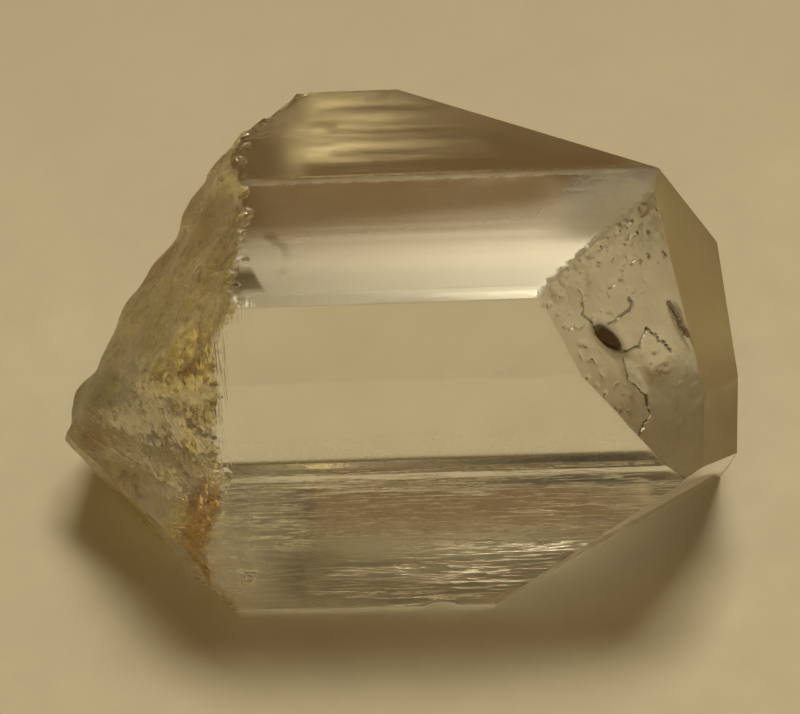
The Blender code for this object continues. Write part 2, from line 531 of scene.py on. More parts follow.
# Pits, open cracks and lumps of the etched dome, across and up its face.
ETCHED_DENTS = (
    Oval(4.1, -1.9, 0.75, 1.7, 0.5, slant=20.0),
    Oval(9.3, -4.7, 0.5, 2.0, 0.3, slant=3.0),
    Oval(4.1, -5.8, 0.5, 2.3, 0.15),
    Oval(2.2, -9.9, 0.5, 1.6, 0.12, slant=10.0),
    Oval(3.0, 1.5, 1.2, 1.0, -0.12),
)

# The same face's dark pit and its less frosted patch.
DARK_PIT = Oval(4.05, -1.9, 0.62, 1.5, 1.6, slant=20.0)
PALE_PATCH = Oval(6.4, -4.9, 1.5, 1.8, 1.0, slant=-20.0)


@dataclass(frozen=True)
class Crack:
    """A narrow open crack in a face.

    Attributes:
        path: its corners, across and up the face, in mm.
        width: how far from its path it ends, in mm.
        depth: how deep it goes, in mm.
    """

    path: Path
    width: float = 0.14
    depth: float = 0.12

    def nearness(self, across: Array, along: Array) -> Array:
        """1 in the crack, falling to 0 at its width."""
        return 1.0 - ramp(distance_to_path(across, along, self.path), 0.4 * self.width, self.width)


ETCHED_CRACKS = (
    Crack(path=((6.6, -0.6), (6.65, -0.95), (6.35, -1.3), (5.4, -1.15), (4.5, -1.1)), width=0.15),
    Crack(path=((6.7, -3.0), (7.35, -4.6), (7.55, -5.5)), width=0.12),
    Crack(path=((9.1, -2.7), (9.25, -3.9), (9.35, -5.2), (9.4, -6.6)), width=0.24, depth=0.3),
    Crack(path=((4.2, -3.6), (3.8, -5.0), (4.4, -6.7), (3.9, -7.9), (1.9, -8.5), (2.4, -11.2))),
    Crack(path=((4.6, -3.4), (5.6, -3.6), (6.7, -3.0)), width=0.12),
    Crack(path=((3.5, -0.35), (3.0, 0.6), (3.6, 1.6)), width=0.10, depth=0.08),
)


@dataclass
class EtchedMarks:
    """The etched dome's marks, at places on its face: pitting, small pits, dents and cracks.

    Attributes:
        points: the places, in the section's own frame.
        pitting_mm: how deep its fine rounded pitting is.
        pitting_width_mm: how wide that pitting is.
        pit_size_mm: a small pit's size, across and up.
        pit_depth_mm: how deep such a pit is.
        pits_elsewhere: how deep such pits are away from the edges, as a share.
        wobble_mm: how far its cracks stray.
        wobble_width_mm: how soon they turn.
        crack_shade: how dark its cracks are.
    """

    points: Array
    pitting_mm: float = 0.022
    pitting_width_mm: float = 0.7
    pit_size_mm: tuple[float, float] = (0.36, 0.42)
    pit_depth_mm: float = 0.06
    pits_elsewhere: float = 0.25
    wobble_mm: float = 0.08
    wobble_width_mm: float = 0.35
    crack_shade: float = 0.85

    def __post_init__(self) -> None:
        """Reads where the places lie, across and up the face."""
        across_axis, up_axis = ETCHED_DOME.axes()
        self.across, self.up = self.points @ across_axis, self.points @ up_axis

    def pits(self) -> Array:
        """Scattered small etch pits, 1 in each."""
        wide, tall = self.pit_size_mm
        return ramp(hills(self.across / wide, self.up / tall, seed=81), 0.35, 0.85)

    def near_edges(self) -> Array:
        """1 along the face's upper and front edges, where most of its pits are."""
        near_front = (1.0 - ramp(self.across, 2.6, 4.2)) * ramp(self.up, -8.5, -5.0)
        return np.clip(ramp(self.up, -2.0, 1.0) + near_front, 0.0, 1.0)

    def crooked(self) -> tuple[Array, Array]:
        """The places moved a little at random, which makes straight runs crooked.

        Returns:
            The moved places, across and up.
        """
        u, v = self.across / self.wobble_width_mm, self.up / self.wobble_width_mm
        first = self.wobble_mm * hills(u, v, seed=91)
        second = self.wobble_mm * hills(u, v, seed=92)
        return self.across + first, self.up + second - 0.3 * first

    def dark(self) -> Array:
        """1 in the dark pit, and nearly so in the cracks."""
        cracked = sum(crack.nearness(*self.crooked()) for crack in ETCHED_CRACKS)
        return np.clip(DARK_PIT.dent(self.across, self.up) + self.crack_shade * cracked, 0.0, 1.0)

    def relief(self) -> Array:
        """How far the face sinks.

        Returns:
            The depths in mm.
        """
        u, v = self.across / self.pitting_width_mm, self.up / self.pitting_width_mm
        pitting = self.pitting_mm * rough_hills(u, v, seed=71, layers=3)
        pits = self.pits() * self.pit_depth_mm * (self.pits_elsewhere + self.near_edges())
        cracks = sum(crack.depth * crack.nearness(*self.crooked()) for crack in ETCHED_CRACKS)
        return pitting + pits + all_dents(ETCHED_DENTS, self.across, self.up) + cracks


# The ball that bites the shell-shaped chip out of the lower front edge, in the object's own frame.
CHIP_AT_MM = (3.0, -15.69, -0.90)
CHIP_RADIUS_MM = 2.2


@dataclass(frozen=True)
class Chip:
    """A ball-shaped bite out of an edge: what lies inside the ball is pushed out to its skin.

    Attributes:
        middle: the ball's middle, in the section's own frame, outside the crystal.
        radius: the ball's radius.
    """

    middle: Array
    radius: float

    @classmethod
    def sunk_at(cls, spot: Array, away: Array, radius: float, sunk: float) -> "Chip":
        """A bite at a spot on the surface.

        Args:
            spot: where it is.
            away: the way from the spot to the ball's middle, of any length.
            radius: the ball's radius.
            sunk: how deep the ball goes in.

        Returns:
            The chip.
        """
        return cls(spot + away / np.linalg.norm(away) * (radius - sunk), radius)

    def distance(self, points: Array) -> Array:
        """How far places are from the ball's middle."""
        return np.linalg.norm(points - self.middle, axis=1)

    def bite(self, points: Array) -> Array:
        """The points, with those inside the ball moved straight out from its middle to its skin."""
        distance = self.distance(points)
        stretch = np.where(distance < self.radius, self.radius / np.maximum(distance, 1e-6), 1.0)
        return self.middle + (points - self.middle) * stretch[:, None]


@dataclass
class BrokenBase:
    """The break at the crystal's base: how far it stands in or out along the long axis.

    Attributes:
        coarse_fade_mm: how far up the prism its main forms fade out.
        fine_fade_mm: how far up the prism its grain fades out.
        sheet_mm: the usual thickness of a cleavage sheet.
        ridge_mm: how broad the worn ridge is.
        grain_mm: how deep the grain is.
        faces: its flat faces.
    """

    coarse_fade_mm: float = 6.0
    fine_fade_mm: float = 1.6
    sheet_mm: float = 0.55
    ridge_mm: float = 0.9
    grain_mm: float = 0.10
    faces: tuple[CrystalFace, ...] = BROKEN_BASE

    def __post_init__(self) -> None:
        """Sets up the planes that the break starts from."""
        self.normals = np.array([face.normal() for face in self.faces])
        self.reaches = np.array([face.reach for face in self.faces])

    def _planes_x(self, y: Array, z: Array) -> Array:
        """Where each break face's plane lies along the axis: x = (reach - n_y y - n_z z) / n_x.

        Args:
            y: places, in the section's own frame.
            z: the same places.

        Returns:
            One row for each face.
        """
        n_x, n_y, n_z = self.normals.T[:, :, None]
        return (self.reaches[:, None] - n_y * y - n_z * z) / n_x

    def plane_x(self, y: Array, z: Array) -> Array:
        """Where the flat break faces lie along the axis: the furthest in of their planes."""
        return self._planes_x(y, z).max(axis=0)

    def ridge(self, y: Array, z: Array) -> Array:
        """How far in the worn ridge between the main and the upper break lies.

        Two planes whose places along the axis differ by d join softly when the ridge between
        them is moved in by k * ln(1 + exp(-d / k)). It keeps its height at the tip.

        Args:
            y: places, in the section's own frame.
            z: the same places.

        Returns:
            The depths in mm.
        """
        main, upper = self._planes_x(y, z)[:2]
        soft = self.ridge_mm * np.log1p(np.exp(-np.abs(main - upper) / self.ridge_mm))
        return soft * ramp(z, -8.5, -2.0)

    def coarse(self, y: Array, z: Array) -> Array:
        """Its main dents, lumps and waves, + for in."""
        return all_dents(BASE_DENTS, y, z) + sum(ripple.height_at(y, z) for ripple in BREAK_RIPPLES)

    def fine(self, y: Array, z: Array) -> Array:
        """Its soft grain, and ledges where whole cleavage sheets came away.

        The ledges come from rounding the break's own distance along the axis towards uneven
        sheets. They are strongest near the front rim, on the steep main break.

        Args:
            y: places, in the section's own frame.
            z: the same places.

        Returns:
            The depths in mm.
        """
        grain = self.grain_mm * rough_hills(y / 2.1, z / 2.1, seed=11, layers=4)
        place = self.plane_x(y, z) + self.coarse(y, z) + 3.0 * grain
        sheets = place / self.sheet_mm + 0.9 * rough_hills(y / 2.2, z / 5.0, seed=31, layers=2)
        part = sheets - np.floor(sheets)
        ledge = (ramp(part, 0.40, 0.60) - part) * self.sheet_mm
        near_front = ramp(-y, 8.2, 10.2) * ramp(hills(y / 1.9, z / 4.0, seed=41), -0.6, 0.2)
        return grain + 0.8 * ledge * near_front

    def shape(self, points: Array) -> Array:
        """Moves points along the long axis by the break's relief, fading out up the prism.

        Args:
            points: places on the flat-faced crystal.

        Returns:
            The moved places.
        """
        x, y, z = points.T
        above = x - self.plane_x(y, z)
        shift = (self.coarse(y, z) + self.ridge(y, z)) * (1.0 - ramp(above, 0.0, self.coarse_fade_mm))
        shift += self.fine(y, z) * (1.0 - ramp(above, 0.0, self.fine_fade_mm))
        moved = points.copy()
        moved[:, 0] += shift
        return moved

    def nearness(self, points: Array, fade: float | Array) -> Array:
        """1 on the break, falling to 0 at a distance up the prism.

        Args:
            points: places, in the section's own frame.
            fade: that distance in mm.

        Returns:
            The nearness, from 0 to 1.
        """
        x, y, z = points.T
        return 1.0 - ramp(x - self.plane_x(y, z), 0.02, fade)


# ---- The flat-faced body and its net ----


class FlatBody:
    """The convex body that a set of faces encloses: its corners and each face's outline."""

    SAME_CORNER_MM = 0.002

    def __init__(self, faces: tuple[CrystalFace, ...]) -> None:
        """Works out the corners and outlines.

        Args:
            faces: every face, the worn edges among them.
        """
        self.faces = faces
        self.normals = np.array([face.normal() for face in faces])
        self.reaches = np.array([face.reach for face in faces])
        self.corners, self.planes_at = self._corners()
        self.outlines = [self._outline(index) for index in range(len(faces))]

    def _corners(self) -> tuple[Array, list[set[int]]]:
        """Every place where three planes meet that no other plane cuts off.

        Returns:
            The corners, and the planes that meet at each.
        """
        triples = np.array(list(itertools.combinations(range(len(self.faces)), 3)))
        systems = self.normals[triples]
        solvable = np.abs(np.linalg.det(systems)) > 1e-4
        triples, systems = triples[solvable], systems[solvable]
        spots = np.linalg.solve(systems, self.reaches[triples][..., None])[..., 0]
        kept = (spots @ self.normals.T <= self.reaches + 1e-5).all(axis=1)
        corners: list[Array] = []
        planes: list[set[int]] = []
        for spot, triple in zip(spots[kept], triples[kept]):
            gaps = [float(np.abs(spot - corner).max()) for corner in corners]
            if gaps and min(gaps) < self.SAME_CORNER_MM:
                planes[int(np.argmin(gaps))].update(int(plane) for plane in triple)
            else:
                corners.append(spot)
                planes.append({int(plane) for plane in triple})
        return np.array(corners), planes

    def _outline(self, index: int) -> list[int]:
        """A face's corners, in order round its middle.

        Args:
            index: the face.

        Returns:
            The corners' numbers, none where the face is cut off.
        """
        own = [corner for corner, planes in enumerate(self.planes_at) if index in planes]
        if len(own) < 3:
            return []
        across, along = self.faces[index].axes()
        offset = self.corners[own] - self.corners[own].mean(axis=0)
        order = np.argsort(np.arctan2(offset @ along, offset @ across))
        return [own[place] for place in order]


@dataclass
class Net:
    """A closed triangle net on the flat body.

    Attributes:
        points: every place, in the section's own frame.
        triangles: its triangles, as rows of three places.
        owner: the face that each place belongs to, or -1 on an edge.
        margin: each place's distance from its face's outline, 0 on an edge.
    """

    points: Array
    triangles: Array
    owner: Array
    margin: Array


class NetMaker:
    """Lays a grid on each face of a flat body, and closes it to points shared along the edges."""

    EDGE_GAP = 0.62

    def __init__(self, body: FlatBody, fine_zone: Callable[[Array], Array]) -> None:
        """Keeps what the nets share.

        Args:
            body: the flat body.
            fine_zone: tells which places take the finest grid.
        """
        self.body = body
        self.fine_zone = fine_zone
        self.chunks: list[Array] = [body.corners]
        self.owners: list[Array] = [np.full(len(body.corners), -1)]
        self.margins: list[Array] = [np.zeros(len(body.corners))]
        self.count = len(body.corners)
        self.on_edge: dict[tuple[int, int], Array] = {}

    def _add(self, points: Array, owner: int, margin: Array) -> Array:
        """Takes in new places.

        Args:
            points: the places.
            owner: the face that they are on, or -1 on an edge.
            margin: their distances from the face's outline.

        Returns:
            Their numbers.
        """
        self.chunks.append(points)
        self.owners.append(np.full(len(points), owner))
        self.margins.append(margin)
        numbers = np.arange(self.count, self.count + len(points))
        self.count += len(points)
        return numbers

    def _edge_counts(self) -> dict[tuple[int, int], int]:
        """How many parts each edge is cut into: as many as the finer of its two faces asks.

        Returns:
            The counts, by the edge's two corners, the lower first.
        """
        counts: dict[tuple[int, int], int] = {}
        for face, outline in zip(self.body.faces, self.body.outlines):
            across, along = face.axes()
            step_a, step_b = face.steps()
            for first, second in round_pairs(outline):
                run = self.body.corners[second] - self.body.corners[first]
                parts = math.ceil(math.hypot(run @ across / step_a, run @ along / step_b))
                key = (min(first, second), max(first, second))
                counts[key] = max(counts.get(key, 1), parts)
        return counts

    def _split_edges(self) -> None:
        """Puts evenly spaced shared places on every edge."""
        for (first, second), parts in self._edge_counts().items():
            share = (np.arange(1, parts) / parts)[:, None]
            start, end = self.body.corners[first], self.body.corners[second]
            points = start + (end - start) * share
            self.on_edge[first, second] = self._add(points, -1, np.zeros(len(points)))

    def _rim(self, outline: list[int]) -> list[int]:
        """A face's outline with the places on its edges filled in.

        Args:
            outline: the outline's corners.

        Returns:
            Every place round it, in order.
        """
        rim: list[int] = []
        for first, second in round_pairs(outline):
            rim.append(first)
            between = self.on_edge[min(first, second), max(first, second)]
            rim.extend((between if first < second else between[::-1]).tolist())
        return rim

    def _grid(self, corners: Array, step_a: float, step_b: float, woven: bool) -> tuple[Array, Array]:
        """Grid places inside an outline, with their distances from it.

        Each place is (i * step_a, j * step_b), every other row moved by half a step if woven. A
        place is kept where it is inside every side of the outline by a little over half a step.

        Args:
            corners: the outline's corners, in the face's two directions.
            step_a: spacing across.
            step_b: spacing along.
            woven: whether every other row is moved.

        Returns:
            The kept places and their distances from the outline in mm.
        """
        low = np.floor(corners.min(axis=0) / (step_a, step_b)).astype(int)
        high = np.ceil(corners.max(axis=0) / (step_a, step_b)).astype(int)
        rows, columns = np.meshgrid(np.arange(low[1], high[1] + 1), np.arange(low[0], high[0] + 1))
        slide = 0.5 * (rows % 2) if woven else 0.25
        places = np.stack(((columns + slide) * step_a, (rows + 0.5) * step_b), -1).reshape(-1, 2)
        run = np.roll(corners, -1, axis=0) - corners
        inward = np.stack((-run[:, 1], run[:, 0]), -1)
        inward /= np.linalg.norm(inward, axis=1)[:, None]
        depth = np.einsum("psk,sk->ps", places[:, None] - corners[None], inward)
        need = self.EDGE_GAP * np.hypot(inward[:, 0] * step_a, inward[:, 1] * step_b)
        kept = (depth > need).all(axis=1)
        return places[kept], depth[kept].min(axis=1)

    def _fill(self, index: int) -> Array:
        """Nets one face.

        Args:
            index: the face.

        Returns:
            Its triangles, as rows of three places.
        """
        face, outline = self.body.faces[index], self.body.outlines[index]
        across, along = face.axes()
        out = face.normal()
        corners = self.body.corners[outline] @ np.stack((across, along), -1)
        woven = face.kind is not FaceKind.PRISM
        grids = [self._grid(corners, *face.steps(), woven)]
        if face.kind is FaceKind.PRISM:
            grids.append(self._grid(corners, FINE_STEP_MM, FINE_STEP_MM, True))
        numbers: list[Array] = []
        for fine, (places, margin) in enumerate(grids):
            solid = places[:, :1] * across + places[:, 1:] * along + out * face.reach
            if len(grids) == 2:
                chosen = self.fine_zone(solid) == bool(fine)
                solid, margin = solid[chosen], margin[chosen]
            numbers.append(self._add(solid, index, margin))
        rim = self._rim(outline)
        members = np.concatenate([np.array(rim), *numbers])
        everything = np.vstack(self.chunks)
        flat = everything[members] @ np.stack((across, along), -1)
        ring = list(range(len(rim)))
        result = geometry.delaunay_2d_cdt(flat.tolist(), round_pairs(ring), [ring], 1, 1e-9)
        return members[np.array(result[2])]

    def make(self) -> Net:
        """Nets every face.

        Returns:
            The closed net.
        """
        self._split_edges()
        netted = [self._fill(index) for index, outline in enumerate(self.body.outlines) if outline]
        return Net(
            points=np.vstack(self.chunks),
            triangles=np.vstack(netted),
            owner=np.concatenate(self.owners),
            margin=np.concatenate(self.margins),
        )


# ---- Node helpers ----


class Wiring:
    """Adds nodes to a tree and joins them by their sockets' names."""

    def __init__(self, tree: bpy.types.NodeTree) -> None:
        """Starts on a node tree.

        Args:
            tree: the tree to fill.
        """
        self.tree = tree
        self.masks: dict[str, Socket] = {}

    def add(self, kind: str, values: dict[Any, Any] | None = None, **settings: Any) -> bpy.types.Node:
        """Adds a node.

        Args:
            kind: the node's type name.
            values: input sockets and what they hold: a number, a colour or an output socket.
            **settings: the node's own settings.

        Returns:
            The node.
        """
        node = self.tree.nodes.new(kind)
        for name, value in settings.items():
            setattr(node, name, value)
        for name, value in (values or {}).items():
            if isinstance(value, Socket):
                self.tree.links.new(value, node.inputs[name])
            else:
                node.inputs[name].default_value = value
        return node

    def math(self, operation: str, *inputs: Any) -> Socket:
        """A Math node's result."""
        return self.add("ShaderNodeMath", dict(enumerate(inputs)), operation=operation).outputs[0]

    def plus(self, first: Any, second: Any) -> Socket:
        """The sum of two values."""
        return self.math("ADD", first, second)

    def times(self, first: Any, second: Any) -> Socket:
        """The product of two values."""
        return self.math("MULTIPLY", first, second)

    def vector(self, operation: str, *inputs: Any) -> bpy.types.Node:
        """A Vector Math node."""
        return self.add("ShaderNodeVectorMath", dict(enumerate(inputs)), operation=operation)

    def blend(self, share: Any, first: Any, second: Any) -> Socket:
        """Two colours mixed: a Mix node's colour result."""
        return self.add("ShaderNodeMix", {0: share, 6: first, 7: second}, data_type="RGBA").outputs[2]

    def span(
        self, value: Any, low: float, high: float, to_low: float = 0.0, to_high: float = 1.0
    ) -> Socket:
        """A Map Range node's result, clamped.

        Args:
            value: what it reads.
            low: the value that gives to_low.
            high: the value that gives to_high.
            to_low: the result at low.
            to_high: the result at high.

        Returns:
            The result.
        """
        values = {"Value": value, "From Min": low, "From Max": high, "To Min": to_low, "To Max": to_high}
        return self.add("ShaderNodeMapRange", values).outputs["Result"]

    def noise(self, vector: Any, scale: Any, detail: float, rough: float) -> Socket:
        """A Noise Texture's value.

        Args:
            vector: where it reads the noise.
            scale: how fine it is.
            detail: how many finer layers it has.
            rough: how strong those layers are.

        Returns:
            The value.
        """
        values = {"Vector": vector, "Scale": scale, "Detail": detail, "Roughness": rough}
        return self.add("ShaderNodeTexNoise", values).outputs[0]

    def drawn_noise(self, vector: Any, per_metre: Triple, detail: float) -> Socket:
        """A noise drawn out along a direction: it is read at the place times a scale for each."""
        place = self.add("ShaderNodeMapping", {"Vector": vector, "Scale": per_metre}).outputs[0]
        return self.noise(place, 1.0, detail, 0.6)

    def cloud(self, mottle: bpy.types.NodeTree, place: Socket, per_metre: float) -> Socket:
        """The shared cloudy variation."""
        values = {"Vector": place, "Scale": per_metre}
        return self.add("ShaderNodeGroup", values, node_tree=mottle).outputs["Value"]

    def mask(self, name: str) -> Socket:
        """One of the mesh's own masks."""
        if name not in self.masks:
            self.masks[name] = self.add("ShaderNodeAttribute", attribute_name=name).outputs["Fac"]
        return self.masks[name]


def mottle_group() -> bpy.types.NodeTree:
    """Soft cloudy variation at two scales, from 0 to 1, for stone and paper alike.

    Returns:
        The node group, with Vector and Scale inputs and a Value output.
    """
    group = bpy.data.node_groups.new("mottle", "ShaderNodeTree")
    group.interface.new_socket("Vector", in_out="INPUT", socket_type="NodeSocketVector")
    group.interface.new_socket("Scale", in_out="INPUT", socket_type="NodeSocketFloat")
    group.interface.new_socket("Value", in_out="OUTPUT", socket_type="NodeSocketFloat")
    wiring = Wiring(group)
    inlet = wiring.add("NodeGroupInput")
    place, scale = inlet.outputs["Vector"], inlet.outputs["Scale"]
    broad = wiring.noise(place, scale, 4.0, 0.55)
    fine = wiring.noise(place, wiring.times(scale, 5.3), 3.0, 0.6)
    both = wiring.plus(wiring.times(broad, 0.65), wiring.times(fine, 0.35))
    wiring.add("NodeGroupOutput", {"Value": both})
    return group


# ---- Finishes ----


@dataclass(frozen=True)
class TopazFinish:
    """Clear topaz with a faint straw tint, frosted where it is etched and stained where broken.

    Attributes:
        ior: topaz bends light this much.
        lustre: roughness of a clean growth face.
        frosted: roughness that full frost adds.
        fractured: roughness that the break adds.
        glinting: roughness that the break's flaky parts add instead.
        scuffed: roughness that wear adds on the front of the top.
        grooved: roughness that the open growth grooves add.
        facet_m: the size of a flaky part's facets.
        facet_rise: how steeply those facets are tilted, in bump heights per metre.
        bump_m: the depth that one unit of bump height stands for.
        line_height: bump height of the faint growth lines.
        groove_height: bump height of the open growth grooves.
        etching_height: bump height of the etching and the fine break.
        sheet_height: bump height of the cleavage sheets.
        grain_height: bump height of the break's grain.
        lines_per_m: how fine the growth lines are along the axis and across it.
        grooves_per_m: the same of the grooves.
        sheets_per_m: the same of the cleavage sheets.
        clouds_per_m: how fine the cloudy variation is.
        specks_per_m: how fine the speckle is.
        etching_per_m: how fine the etching is.
        clear: the tint of clean stone.
        haze: the yellowish tint of the break and the end.
        gold_stain_and_seen_through: the iron stain where it is thin.
        rust: the iron stain where it is thick.
        brown: the fine dirt in the break's grain.
        grime: what fills pits and cracks.
        darkening_tint: the tint of the painted shade on the top and the front wall, and of a darker patch
            on the break.
        body_colour: what is left of white light after passing through the stone.
        body_density: how soon it is taken up, per metre.
    """

    ior: float = 1.62
    lustre: float = 0.015
    frosted: float = 0.50
    fractured: float = 0.24
    glinting: float = 0.08
    scuffed: float = 0.27
    grooved: float = 0.45
    facet_m: float = 0.42 * MM
    facet_rise: float = 70000.0
    bump_m: float = 0.02 * MM
    line_height: float = 0.2
    groove_height: float = 18.0
    etching_height: float = 2.6
    sheet_height: float = 7.0
    grain_height: float = 11.0
    lines_per_m: Triple = (60.0, 3200.0, 3200.0)
    grooves_per_m: Triple = (260.0, 5200.0, 5200.0)
    sheets_per_m: Triple = (3400.0, 160.0, 160.0)
    clouds_per_m: float = 420.0
    specks_per_m: float = 1500.0
    etching_per_m: float = 2600.0
    clear: Colour = (1.0, 1.0, 0.985, 1.0)
    haze: Colour = (0.60, 0.485, 0.095, 1.0)
    gold_stain_and_seen_through: Colour = (1.0, 0.74, 0.16, 1.0)
    rust: Colour = (0.36, 0.14, 0.015, 1.0)
    brown: Colour = (0.30, 0.22, 0.05, 1.0)
    grime: Colour = (0.008, 0.003, 0.0008, 1.0)
    # Painted shade: this darker tint stands for shade seen in the stone on the top and the front wall; it
    # also darkens a patch of the break.
    darkening_tint: Colour = (0.34, 0.315, 0.22, 1.0)
    body_colour: Colour = (0.75, 0.65, 0.35, 1.0)
    body_density: float = 4.0

    def make(self, mottle: bpy.types.NodeTree) -> bpy.types.Material:
        """Builds the material.

        Args:
            mottle: the shared cloudy variation.

        Returns:
            The material.
        """
        material = bpy.data.materials.new("topaz_clear_and_stained")
        material.use_nodes = True
        material.node_tree.nodes.clear()
        wiring = Wiring(material.node_tree)
        place = wiring.add("ShaderNodeTexCoord").outputs["Object"]
        grain = wiring.cloud(mottle, place, self.clouds_per_m)
        speckle = wiring.noise(place, self.specks_per_m, 5.0, 0.65)
        fine_lines = wiring.drawn_noise(place, self.grooves_per_m, 2.0)
        grooves = wiring.times(wiring.mask("streaks"), wiring.span(fine_lines, 0.52, 0.60))
        values = {
            "Base Color": self._colour(wiring, grain, speckle),
            "Roughness": self._roughness(wiring, grain, grooves),
            "Metallic": 0.0,
            "IOR": self.ior,
            "Transmission Weight": 1.0,
            "Normal": self._normal(wiring, place, speckle, grooves),
        }
        shader = wiring.add("ShaderNodeBsdfPrincipled", values)
        body = {"Color": self.body_colour, "Density": self.body_density}
        absorb = wiring.add("ShaderNodeVolumeAbsorption", body)
        wiring.add("ShaderNodeOutputMaterial", {"Surface": shader.outputs[0], "Volume": absorb.outputs[0]})
        return material

    def _colour(self, wiring: Wiring, grain: Socket, speckle: Socket) -> Socket:
        """The tint: haze, then stains that gather in the grain (with a painted yellow on the front wall),
        then dirt, painted shade and grime.

        Args:
            wiring: the material's nodes.
            grain: the cloudy variation.
            speckle: the finest variation.

        Returns:
            The colour.
        """
        colour = wiring.blend(wiring.mask("haze"), self.clear, self.haze)
        # The gold also paints, on the front wall, the colour of the stained break seen through the stone.
        for name, tint, low, high in (("gold_stain_and_seen_through", self.gold_stain_and_seen_through, 0.67, 0.91), ("rust", self.rust, 0.69, 0.85)):
            stain = wiring.mask(name)
            gathered = wiring.span(wiring.plus(grain, wiring.times(stain, 0.5)), low, high)
            share = wiring.times(gathered, wiring.span(stain, 0.02, 0.35))
            colour = wiring.blend(share, colour, tint)
        dirt = wiring.times(wiring.mask("broken"), wiring.span(speckle, 0.42, 0.62, 0.0, 0.75))
        colour = wiring.blend(dirt, colour, self.brown)
        # Painted shade: a darker tint on the top and the front wall, and a darker patch on the break.
        colour = wiring.blend(wiring.mask("painted_shade_and_dark_patch"), colour, self.darkening_tint)
        return wiring.blend(wiring.mask("grime"), colour, self.grime)

    def _roughness(self, wiring: Wiring, grain: Socket, grooves: Socket) -> Socket:
        """The roughness: what frost, the break and the grooves add, uneven; then the even wear.

        Args:
            wiring: the material's nodes.
            grain: the cloudy variation, which makes it uneven.
            grooves: 1 in an open growth groove.

        Returns:
            The roughness.
        """
        broken = wiring.span(wiring.mask("flakes"), 0.0, 1.0, self.fractured, self.glinting)
        roughness = wiring.plus(self.lustre, wiring.times(wiring.mask("frost"), self.frosted))
        roughness = wiring.plus(roughness, wiring.times(wiring.mask("broken"), broken))
        roughness = wiring.plus(roughness, wiring.times(grooves, self.grooved))
        roughness = wiring.times(roughness, wiring.span(grain, 0.3, 0.7, 0.75, 1.25))
        return wiring.plus(roughness, wiring.times(wiring.mask("worn"), self.scuffed))

    def _normal(self, wiring: Wiring, place: Socket, speckle: Socket, grooves: Socket) -> Socket:
        """The surface's small forms, on top of the slow slump of the top's front.

        Args:
            wiring: the material's nodes.
            place: where the surface is.
            speckle: the finest variation.
            grooves: 1 in an open growth groove.

        Returns:
            The normal.
        """
        etching = wiring.noise(place, self.etching_per_m, 4.0, 0.65)
        cleavage = wiring.span(wiring.drawn_noise(place, self.sheets_per_m, 3.0), 0.42, 0.62)
        hazy = wiring.math("MAXIMUM", wiring.mask("frost"), wiring.mask("broken"))
        parts = (
            wiring.times(etching, wiring.times(hazy, self.etching_height)),
            wiring.times(grooves, self.groove_height),
            wiring.times(wiring.times(wiring.mask("sheets"), cleavage), self.sheet_height),
            wiring.times(wiring.times(wiring.mask("broken"), speckle), self.grain_height),
            wiring.times(self._facets(wiring, place), wiring.mask("flakes")),
        )
        height = wiring.times(wiring.drawn_noise(place, self.lines_per_m, 3.0), self.line_height)
        for part in parts:
            height = wiring.plus(height, part)
        slump = wiring.times(wiring.mask("slump"), -1.0)
        rounding = wiring.add("ShaderNodeBump", {"Strength": 1.0, "Distance": MM, "Height": slump})
        small = {"Strength": 0.5, "Distance": self.bump_m, "Height": height, "Normal": rounding.outputs[0]}
        return wiring.add("ShaderNodeBump", small).outputs[0]

    def _facets(self, wiring: Wiring, place: Socket) -> Socket:
        """A height made of small flat facets, each tilted its own way, as flaky stone breaks.

        Args:
            wiring: the material's nodes.
            place: where the surface is.

        Returns:
            The height.
        """
        cells = wiring.add("ShaderNodeTexVoronoi", {"Vector": place, "Scale": 1.0 / self.facet_m})
        tilt = wiring.vector("SUBTRACT", cells.outputs["Color"], (0.5, 0.5, 0.5)).outputs["Vector"]
        off = wiring.vector("SUBTRACT", place, cells.outputs["Position"]).outputs["Vector"]
        return wiring.times(wiring.vector("DOT_PRODUCT", tilt, off).outputs["Value"], self.facet_rise)


